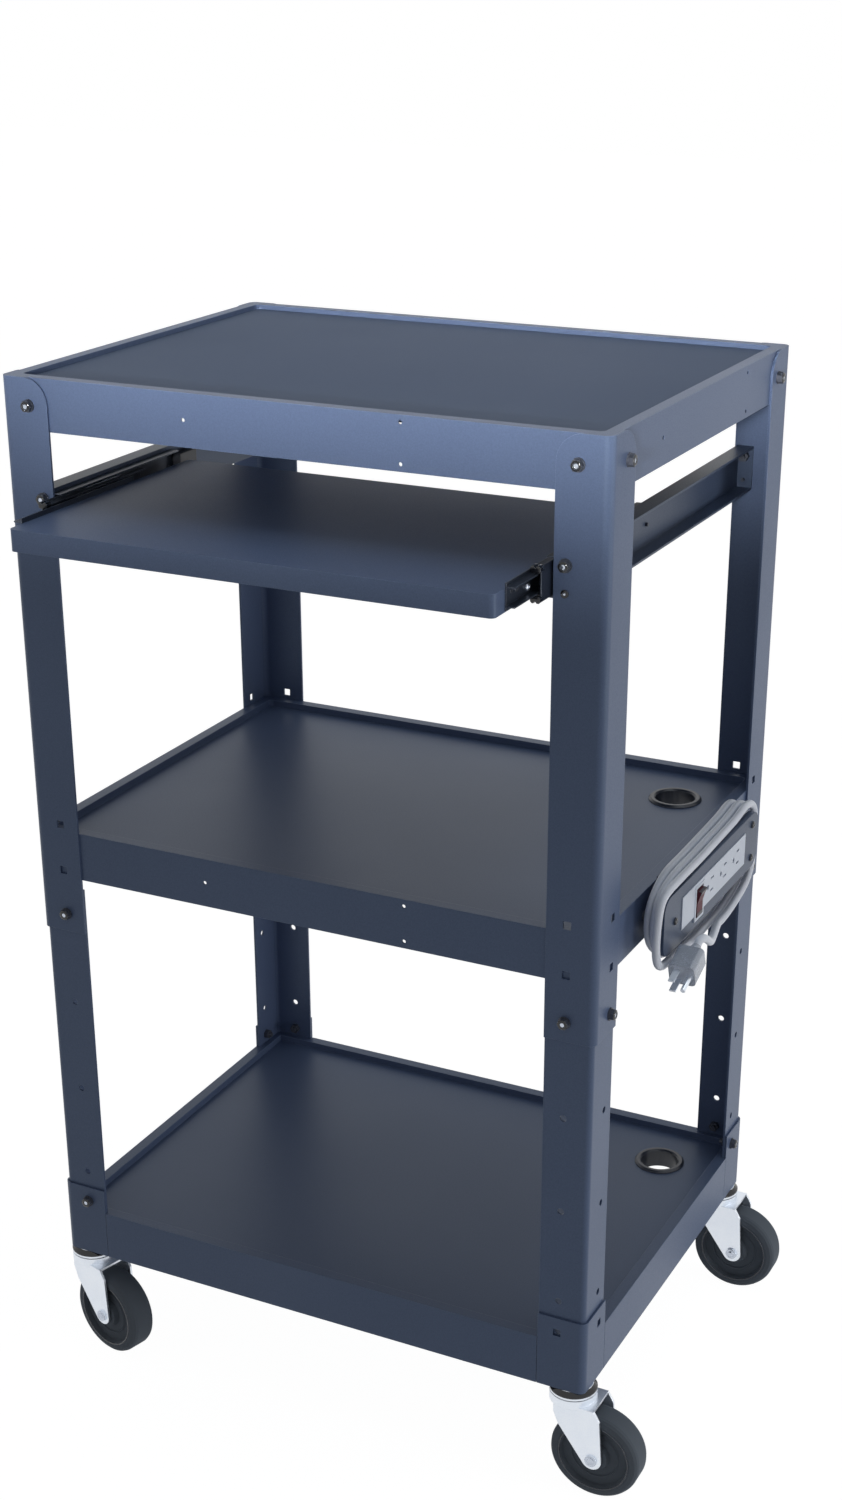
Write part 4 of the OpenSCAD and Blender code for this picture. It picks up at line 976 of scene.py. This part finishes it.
@dataclass
class Fasteners:
    """Frame bolts, nuts and small screws, with their domed heads. Sizes in millimetres.

    Attributes:
        leg: Box of the back right upper leg.
        socket: Box of the back right socket.
        rail: Box of the right rail.
        strip: Box of the power strip's housing.
        bolt_box: Box of all frame bolts.
        screw_box: Box of the power strip's screws.
        front_hole: Distance of a front hole from the corner.
        side_hole: Distance of a side hole from the corner.
        top_bolt_down: Distance of the top bolts below the upper leg's top.
        joint_bolt_up: Distance of the leg joints' bolts above the upper leg's foot.
        socket_bolt_down: Distance of the socket bolts below the socket's top.
        bare_socket: Right and back, the corner whose socket has no bolts.
        rail_hole: Distance of the rails' bolts and screws from the corner.
        rail_bolt_up: Distance of the rails' bolts above their middle, and of their screws below it.
        strip_spots: Along and up from their middle, the strip's screws.
        bolt_dome: Radius and height above the head, a bolt's dome.
        bolt_glint_cap: Radius and height above the head, a bright cap painted on it as a glint.
        screw_dome: Radius and height above the head, a small screw's dome.
        screw_glint_cap: Radius and height above the head, a bright cap painted on it as a glint.
        segments: Segments round each of them.
    """

    leg: NodeBox = NodeBox.of("leg_upper_br")
    socket: NodeBox = NodeBox.of("corner_socket_br")
    rail: NodeBox = NodeBox.of("rail_right")
    strip: NodeBox = NodeBox.of("strip_housing")
    bolt_box: NodeBox = NodeBox.of("frame_bolts")
    screw_box: NodeBox = NodeBox.of("strip_screws")
    front_hole: float = 30.3
    side_hole: float = 34.6
    top_bolt_down: float = 25.8
    joint_bolt_up: float = 19.6
    socket_bolt_down: float = 16.6
    bare_socket: tuple[int, int] = (1, -1)
    rail_hole: float = 39.8
    rail_bolt_up: float = 12.2
    strip_spots: tuple[tuple[float, float], ...] = ((-108.8, 0.0), (108.8, 18.0), (108.8, -18.0))
    bolt_dome: Profile = ((4.9, -0.4), (4.7, 0.5), (3.9, 1.0), (2.8, 1.1), (2.3, 0.3))
    bolt_glint_cap: Profile = ((2.2, 0.1), (2.1, 0.5), (1.3, 0.7), (0.4, 0.75))
    screw_dome: Profile = ((3.6, -0.2), (3.3, 0.5), (2.5, 1.0), (1.6, 1.1), (1.3, 0.4))
    screw_glint_cap: Profile = ((1.3, 0.3), (1.2, 0.5), (0.8, 0.65), (0.3, 0.7))
    segments: int = 20

    def on_front(self, right: int, back: int, inward: float, level: float) -> Matrix:
        """Gives a place on the front or back face of a leg.

        Args:
            right: -1 for the left, 1 for the right.
            back: -1 for the front, 1 for the back.
            inward: Distance from the corner.
            level: Height.

        Returns:
            The placing.
        """
        spot = (right * (self.leg.high[0] - inward), back * self.leg.high[1], level)
        return aim(spot, (0, back, 0))

    def bolts(self) -> list[Matrix]:
        """Gives the places of all frame bolts.

        Returns:
            The placing of each bolt.
        """
        found = []
        across, depth, top = self.leg.high
        rail_level = self.rail.middle[2] + self.rail_bolt_up
        for right in (-1, 1):
            for back in (-1, 1):
                levels = [top - self.top_bolt_down, self.leg.low[2] + self.joint_bolt_up]
                if (right, back) != self.bare_socket:
                    levels.append(self.socket.high[2] - self.socket_bolt_down)
                for level in levels:
                    along = back * (depth - self.side_hole)
                    found.append(self.on_front(right, back, self.front_hole, level))
                    found.append(aim((right * across, along, level), (right, 0, 0)))
                found.append(self.on_front(right, back, self.rail_hole, rail_level))
        return found

    def small_screws(self) -> list[Matrix]:
        """Gives the places of the small screws that show.

        Returns:
            The placing of each screw.
        """
        face = self.strip.high[0]
        _, middle_y, middle_z = self.screw_box.middle
        found = [
            aim((face, middle_y + along, middle_z + up), (1, 0, 0))
            for along, up in self.strip_spots
        ]
        rail_level = self.rail.middle[2] - self.rail_bolt_up
        for right in (-1, 1):
            for back in (-1, 1):
                found.append(self.on_front(right, back, self.rail_hole, rail_level))
        return found

    def build(self) -> None:
        """Dresses the fasteners and rounds their heads."""
        dress(BLACK_STEEL, "frame_bolts", "frame_nuts", "strip_screws", "strip_spacers")
        dress(BLACK_STEEL, "rail_screws")
        bolts = self.bolts(), self.bolt_box.high[0] - self.leg.high[0]
        screws = self.small_screws(), self.screw_box.high[0] - self.strip.high[0]
        # The bright caps in the middle of the dark heads are painted glints.
        for name, profile, (places, reach), finish in (
            ("bolt_domes", self.bolt_dome, bolts, GLOSS_BLACK),
            ("painted_bolt_glints", self.bolt_glint_cap, bolts, GLINT_STEEL),
            ("screw_domes", self.screw_dome, screws, GLOSS_BLACK),
            ("painted_screw_glints", self.screw_glint_cap, screws, GLINT_STEEL),
        ):
            new_piece(name, turned(profile, places, self.segments, reach), finish, "frame")


@dataclass
class PowerStrip:
    """Outlet plate, inserts and rocker switch. Sizes in millimetres.

    Attributes:
        pivot: Middle of the rocker's pivot.
        tilt: Tilt of the rocker as it stands, in degrees.
        half_width: Half width of the rocker.
        face: Outward and up, the rocker's outer face from its middle to its end.
        band: Share of the half face that the dark ends cover.
        slope: Share of the half face over which a dark end rises.
        skin: Height of the dark ends above the red face.
        step: Height of their first edge above it.
        sunk: Depth of the dark ends in the rocker.
        corner: Distance of their upper corner from the rocker's end.
        return_depth: Reach of the dark ends round the rocker's end.
        overlap: Reach of the dark ends beyond the rocker's sides.
    """

    pivot: Point = joint_place("rocker_tilt")
    tilt: float = 8.0
    half_width: float = 7.5
    face: tuple[tuple[float, float], tuple[float, float]] = ((6.8, 0.0), (8.8, 13.5))
    band: float = 0.3
    slope: float = 0.06
    skin: float = 0.35
    step: float = 0.14
    sunk: float = 0.2
    corner: float = 0.4
    return_depth: float = 3.0
    overlap: float = 0.1

    def rocker_ends(self, work: Mesh) -> None:
        """Makes the two dark ends of the rocker.

        Args:
            work: Mesh to add to.
        """
        (u0, _), (u1, top) = self.face
        start = 1 - self.band
        risen = start + self.slope
        first, second = u0 + (u1 - u0) * start, u0 + (u1 - u0) * risen
        inner = u1 - self.return_depth
        outline = [
            (first - self.sunk, top * start), (first + self.step, top * start),
            (second + self.skin, top * risen), (u1 + self.skin, top - self.corner),
            (u1 + self.step, top + self.skin), (inner, top + self.skin),
            (inner, top - self.sunk), (u1 - self.sunk, top - self.sunk),
        ]
        tilt = Matrix.Rotation(math.radians(self.tilt), 4, "Y")
        base = Matrix.Scale(MM, 4) @ Matrix.Translation(self.pivot) @ tilt
        reach = self.half_width + self.overlap
        for level in (-1, 1):
            place = base @ along_cart(1, level)
            rings = [
                [place @ Vector((u, v, along)) for u, v in outline] for along in (-reach, reach)
            ]
            skin_rings(work, rings)

    def build(self) -> None:
        """Dresses the strip's plastics and adds the rocker's dark ends."""
        dress(OUTLET_WHITE, "strip_plate", "outlet_inserts")
        dress(ROCKER_RED, "rocker_switch")
        new_piece("rocker_ends", self.rocker_ends, ROCKER_BLACK, "rocker")
        dress(STOP_RUBBER, "cord_relief")


@dataclass
class PowerCord:
    """Power cord: out of the strip, wound round it, and on to the plug. Lengths in millimetres.

    Attributes:
        diameter: Thickness of the cord.
        layer_pitch: Spacing between neighbouring loops.
        start: First place on the winding, in loops.
        end: Last place on the winding, in loops.
        way_step: Share of a loop over which its direction is measured.
        strip: Box of the strip's housing, whose back lies on the tray's skirt.
        first_x: Distance of the first loop from the skirt, at the front.
        lean: Lean of the loops toward the skirt, per millimetre toward the back.
        front_y: Place where the lean starts.
        loop_steps: Rings per loop.
        bend_steps: Rings between two points of the lead and the tail.
        sides: Sides of the tube.
        relief: Box of the strain relief, whose back end the cord leaves.
        loops: Along and up from the strip's middle, and the spread of the later loops.
        lead: Route from the relief, measured from its end.
        plug: Middle of the plug: out of the strip's face, along, and up from the strip's middle.
        plug_dip: Dip of the plug toward the front, in degrees.
        plug_reach: Distance of the plug's root from its middle.
        tail: Route to the plug, measured from its root.
    """

    diameter: float = 8.0
    layer_pitch: float = 8.9
    start: float = -0.06
    end: float = 2.98
    way_step: float = 0.01
    strip: NodeBox = NodeBox.of("strip_housing")
    first_x: float = 8.4
    lean: float = 0.03
    front_y: float = -150.0
    loop_steps: int = 96
    bend_steps: int = 6
    sides: int = 16
    relief: NodeBox = NodeBox.of("cord_relief")
    loops: tuple[tuple[float, float, float, float], ...] = (
        (10, -55.3, 0, 0), (-40, -51.3, 0, 0), (-84, -44.3, -1, 0), (-107, -31.3, -5.2, -1.4),
        (-121, -12.3, -5.4, -1.2), (-122, 7.7, -5, 1), (-111, 22.7, -4.6, 2), (-82, 34.2, -2, 0.3),
        (-35, 34.7, 0, 0), (20, 34.7, 0, 0), (70, 35.2, 0, 0), (108, 36.7, 0.1, 0.2),
        (128, 25.7, 0.5, 0.3), (134, 4.7, 0.2, 0), (134, -19.3, 0, 0), (126, -39.3, 0, 0),
        (104, -50.3, 0, 0), (56, -56.3, 0, 0),
    )
    lead: tuple[Point, ...] = (
        (0, 0, 0), (0, 8, -1), (-0.3, 15, -8), (-0.4, 17.5, -18), (-2.5, 16.5, -30),
        (-6.2, 8, -42.5), (-5.8, -9, -51),
    )
    plug: Point = (17.0, -117.5, -38.3)
    plug_dip: float = 20.0
    plug_reach: float = 26.0
    tail: tuple[Point, ...] = ((-11, 77, -26), (-4.5, 52, -17.5), (-0.8, 32, -6), (0, 17.5, 1.5))

    def loop_at(self, place: float) -> Vector:
        """Gives the point of the loop at a place counted in points.

        Args:
            place: Place along the loop's points.

        Returns:
            Along, up, and their spreads.
        """
        count = len(self.loops)
        whole = math.floor(place)
        near = [Vector(self.loops[(whole + k) % count]) for k in (-1, 0, 1, 2)]
        return catmull(*near, place - whole)

    def winding_at(self, turns: float) -> Vector:
        """Gives the winding's point after a number of loops.

        Args:
            turns: Loops from the first point.

        Returns:
            The point, in millimetres.
        """
        point = self.loop_at((turns + 1) * len(self.loops))
        along = point[0] + point[2] * turns * turns
        up = point[1] + point[3] * turns * turns
        lean = (along - self.front_y) * self.lean
        across = self.strip.low[0] + self.first_x + self.layer_pitch * turns - lean
        return Vector((across, along, self.strip.middle[2] + up))

    def smooth(self, points: Sequence[Vector]) -> list[Vector]:
        """Gives a smooth path from the second point to the last but one.

        Args:
            points: Points of the route.

        Returns:
            The path.
        """
        path = []
        shares = [step / self.bend_steps for step in range(self.bend_steps)]
        for near in zip(points, points[1:], points[2:], points[3:]):
            path += [catmull(*near, share) for share in shares]
        return path + [points[-2]]

    def path(self) -> list[Vector]:
        """Gives the whole route, from the strain relief to the plug.

        Returns:
            Its points, in metres.
        """
        span = self.end - self.start
        count = round(span * self.loop_steps)
        winding = [self.winding_at(self.start + span * k / count) for k in range(count + 1)]
        way_in = (self.winding_at(self.start + self.way_step) - winding[0]).normalized()
        way_out = (winding[-1] - self.winding_at(self.end - self.way_step)).normalized()
        way_in, way_out = way_in * self.diameter, way_out * self.diameter
        dip = math.radians(self.plug_dip)
        plug_way = Vector((0.0, -math.cos(dip), -math.sin(dip)))
        out, along, up = self.plug
        plug = Vector((self.strip.high[0] + out, along, self.strip.middle[2] + up))
        root = plug - plug_way * self.plug_reach
        relief = Vector((self.relief.middle[0], self.relief.high[1], self.relief.middle[2]))
        lead = [relief - Vector((0.0, self.diameter, 0.0))]
        lead += [relief + Vector(step) for step in self.lead]
        lead += [winding[0] - way_in * k for k in (2, 1, 0, -1)]
        tail = [winding[-1] + way_out * k for k in (-1, 0, 1)]
        tail += [root + Vector(step) for step in self.tail]
        tail += [root + plug_way * self.diameter * k for k in (-1, 0, 1)]
        whole = self.smooth(lead)[:-1] + winding + self.smooth(tail)[1:]
        return [point * MM for point in whole]

    def build(self) -> None:
        path = self.path()

        def fill(work: Mesh) -> None:
            """Sweeps the tube."""
            skin_rings(work, sweep(path, self.diameter * MM / 2, self.sides))

        cord = new_piece("power_cord", fill, CORD_VINYL, "frame")
        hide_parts("cord_lead", "cord_winding", "cord_tail")
        dress(PLUG_VINYL, "plug_body")
        dress(ZINC, "plug_pins")


@dataclass
class Casters:
    """Four swivel casters. Sizes in millimetres.

    Attributes:
        wheel: Box of the front right wheel, which runs straight.
        axle: Box of its axle, over the rivets' heads.
        wheel_radius: Radius of the wheels, which is the height of their axles.
        socket: Box of the front right socket, which stands on the upper race.
        cone: Radius, and height from the socket's foot, of the dark band on the race's cone.
        cone_segments: Segments round the band.
        rivet: Radius and height of a ringed rivet head.
        rivet_segments: Segments round a rivet head.
        bead_share: Share of the wheel's radius at which the raised bead runs.
        bead: Distance from that radius, and height, of the bead.
        bead_segments: Segments round the bead.
    """

    wheel: NodeBox = NodeBox.of("wheel_fr")
    axle: NodeBox = NodeBox.of("axle_fr")
    wheel_radius: float = joint_place("wheel_spin_fr")[2]
    socket: NodeBox = NodeBox.of("corner_socket_fr")
    cone: Profile = ((19.6, -0.3), (20.4, -0.3), (24.15, -4.6), (24.2, -5.8), (23.6, -5.8))
    cone_segments: int = 64
    rivet: Profile = (
        (6.3, -0.2), (6.2, 0.5), (5.2, 0.9), (4.3, 0.5), (3.6, 0.5), (3.0, 1.3), (1.6, 1.8),
        (0.4, 1.9),
    )
    rivet_segments: int = 32
    bead_share: float = 0.78
    bead: Profile = ((-0.9, -0.4), (0.9, -0.4), (0.6, 0.45), (-0.6, 0.45))
    bead_segments: int = 72

    def place(self, corner: str, spot: Point) -> Matrix:
        """Places a piece on a caster, turned as the caster stands.

        Args:
            corner: Name of the corner.
            spot: Place of the piece, in millimetres.

        Returns:
            The placing, from millimetres to metres.
        """
        axle_way = joint(f"wheel_spin_{corner}")["axis"]
        swung = Matrix.Rotation(-math.atan2(axle_way[0], axle_way[1]), 4, "Z")
        return Matrix.Scale(MM, 4) @ Matrix.Translation(spot) @ swung

    def axle_ends(self, corner: str) -> list[Matrix]:
        """Gives places on the axle whose Z axes point out of its two sides.

        Args:
            corner: Name of the corner.

        Returns:
            The two placings.
        """
        axle = self.place(corner, joint_place(f"wheel_spin_{corner}"))
        return [axle @ Matrix.Rotation(-side * math.pi / 2, 4, "X") for side in (-1, 1)]

    def dress_one(self, corner: str) -> None:
        """Dresses one caster and adds its race band, rivets and wheel beads.

        Args:
            corner: Name of the corner.
        """
        across, along, _ = joint_place(f"caster_swivel_{corner}")
        base = self.place(corner, (across, along, self.socket.low[2]))
        ends = self.axle_ends(corner)
        dress(ZINC, f"fork_{corner}", f"axle_{corner}")
        dress(TYRE_RUBBER, f"wheel_{corner}")
        band = turned(self.cone, [base], self.cone_segments, closed=True)
        new_piece(f"race_band_{corner}", band, GLOSS_BLACK, "frame")
        rivets = turned(self.rivet, ends, self.rivet_segments, self.axle.half[1])
        new_piece(f"rivet_heads_{corner}", rivets, GLINT_STEEL, f"swivel_{corner}")
        ring = [(self.wheel_radius * self.bead_share + r, h) for r, h in self.bead]
        beads = turned(ring, ends, self.bead_segments, self.wheel.half[1], closed=True)
        new_piece(f"wheel_beads_{corner}", beads, WHEEL_GLOSS, f"roller_{corner}")

    def build(self) -> None:
        """Dresses the casters."""
        for corner in CORNERS:
            self.dress_one(corner)
        dress(ZINC, "caster_bases", "caster_nuts")
        dress(BALL_STEEL, "caster_balls")


# Camera, floor and light


@dataclass(frozen=True)
class Lamp:
    """A soft area lamp.

    Attributes:
        name: Name of the lamp.
        place: Where it stands, in metres.
        aim: Point that it faces.
        size: Width and height, in metres.
        power: Power in watts.
        spread: Spread of its beam, in degrees.
        colour: Colour of its light.
    """

    name: str
    place: Point
    aim: Point
    size: tuple[float, float]
    power: float
    spread: float = 180.0
    colour: Colour = WHITE

    def build(self) -> None:
        """Adds the lamp to the scene."""
        data = bpy.data.lights.new(self.name, "AREA")
        data.shape = "RECTANGLE"
        data.size, data.size_y = self.size
        data.energy = self.power
        data.color = self.colour
        data.spread = math.radians(self.spread)
        lamp = stand(self.name, data)
        lamp.location = self.place
        way = Vector(self.aim) - Vector(self.place)
        lamp.rotation_mode = "QUATERNION"
        lamp.rotation_quaternion = way.to_track_quat("-Z", "Y")


@dataclass
class Studio:
    """Camera, floor, lamps and world.

    Attributes:
        eye: The camera's place, in metres.
        azimuth: Turn of the view about Z, in degrees.
        elevation: Height of the view above the horizon, in degrees.
        roll: Roll of the camera, in degrees.
        sensor: Long side of the sensor, in millimetres.
        lens: Focal length, in millimetres.
        shift: Shift of the picture, in shares of its long side.
        clip: Nearest and farthest distance that the camera shows, in metres.
        floor_half: Half side of the floor, in metres.
        floor_colour: Colour of the floor.
        floor_roughness: Roughness of the floor.
        floor_specular: Level of the floor's reflection.
        floor_glow: Strength of the floor's own white, seen only by the camera and in reflections.
        glow_share: Share of that white in what they see.
        world_level: Strength of the world's light on the cart.
        lamps: The lamps.
    """

    eye: Point = (0.97447, -1.90834, 1.46123)
    azimuth: float = 26.91
    elevation: float = 24.25
    roll: float = -0.31
    sensor: float = 36.0
    lens: float = 53.511
    shift: tuple[float, float] = (0.0040, 0.1051)
    clip: tuple[float, float] = (0.05, 60.0)
    floor_half: float = 12.0
    floor_colour: Colour = (0.86, 0.86, 0.87)
    floor_roughness: float = 0.9
    floor_specular: float = 0.1
    floor_glow: float = 1.15
    glow_share: float = 0.85
    world_level: float = 0.17
    lamps: tuple[Lamp, ...] = (
        Lamp("side_lamp", (3.4, 0.1, 0.3), (0.0, 0.0, 0.3), (1.6, 1.0), 31.0),
        Lamp(
            "top_lamp", (0.6, 0.2, 3.4), (0.0, 0.0, 0.6), (2.0, 2.0), 14.0,
            colour=(0.82, 0.94, 1.0),
        ),
        Lamp("brow_lamp", (0.5, -3.2, 1.36), (0.08, -0.23, 1.17), (0.9, 0.1), 1.4, 10.0),
    )

    def camera(self) -> None:
        """Makes the camera at the photograph's place."""
        az, el, roll = (math.radians(a) for a in (self.azimuth, self.elevation, self.roll))
        forward = Vector((
            -math.sin(az) * math.cos(el), math.cos(az) * math.cos(el), -math.sin(el),
        ))
        right = Vector((math.cos(az), math.sin(az), 0.0))
        up = right.cross(forward)
        right_rolled = right * math.cos(roll) + up * math.sin(roll)
        up_rolled = up * math.cos(roll) - right * math.sin(roll)
        turn = Matrix((right_rolled, up_rolled, -forward)).transposed()
        data = bpy.data.cameras.new("camera")
        data.sensor_width = self.sensor
        data.lens = self.lens
        data.shift_x, data.shift_y = self.shift
        data.clip_start, data.clip_end = self.clip
        camera = stand("camera", data)
        camera.matrix_world = Matrix.Translation(self.eye) @ turn.to_4x4()
        bpy.context.scene.camera = camera

    def white_to_camera(self, nodes: Nodes) -> Socket:
        """Gives 1 for rays from the camera, from reflections and through glass.

        Args:
            nodes: Nodes of the floor or the world.

        Returns:
            The mask's socket.
        """
        rays = nodes.node("ShaderNodeLightPath").outputs
        seen = nodes.math("MAXIMUM", rays["Is Camera Ray"], rays["Is Glossy Ray"])
        return nodes.math("MAXIMUM", seen, rays["Is Transmission Ray"])

    def floor(self) -> None:
        """Makes the pale floor, which keeps a faint shadow."""
        mesh = bpy.data.meshes.new("floor")
        half = self.floor_half
        corners = [(-half, -half, 0), (half, -half, 0), (half, half, 0), (-half, half, 0)]
        mesh.from_pydata(corners, [], [(0, 1, 2, 3)])
        floor = stand("floor", mesh)
        material = bpy.data.materials.new("pale_floor")
        material.use_nodes = True
        nodes = Nodes(material.node_tree)
        shader = nodes.feed(
            nodes.tree.nodes["Principled BSDF"], Base_Color=(*self.floor_colour, 1.0),
            Roughness=self.floor_roughness, Specular_IOR_Level=self.floor_specular,
        )
        glow = nodes.feed(nodes.node("ShaderNodeEmission"), Strength=self.floor_glow)
        share = nodes.math("MULTIPLY", self.white_to_camera(nodes), self.glow_share)
        mix = nodes.feed(nodes.node("ShaderNodeMixShader"), Fac=share)
        nodes.link(shader.outputs["BSDF"], mix.inputs[1])
        nodes.link(glow.outputs["Emission"], mix.inputs[2])
        nodes.feed(nodes.tree.nodes["Material Output"], Surface=mix.outputs["Shader"])
        floor.data.materials.append(material)

    def world(self) -> None:
        """Makes a soft world that shows white behind the cart."""
        world = bpy.data.worlds.new("studio")
        bpy.context.scene.world = world
        world.use_nodes = True
        nodes = Nodes(world.node_tree)
        strength = nodes.between(self.white_to_camera(nodes), self.world_level, 1.0)
        nodes.feed(nodes.tree.nodes["Background"], Color=(*WHITE, 1.0), Strength=strength)

    def build(self) -> None:
        """Makes the whole studio."""
        self.camera()
        self.floor()
        self.world()
        for lamp in self.lamps:
            lamp.build()
        bpy.context.scene.view_settings.view_transform = "Standard"


def main() -> None:
    """Builds the studio and the cart."""
    logging.basicConfig(level=logging.INFO, format="%(name)s: %(message)s")
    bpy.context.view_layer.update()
    Studio().build()
    PowerCord().build()
    for assembly in (Chassis(), Slides(), Fasteners(), PowerStrip(), Casters()):
        assembly.build()


if __name__ == "__main__":
    main()
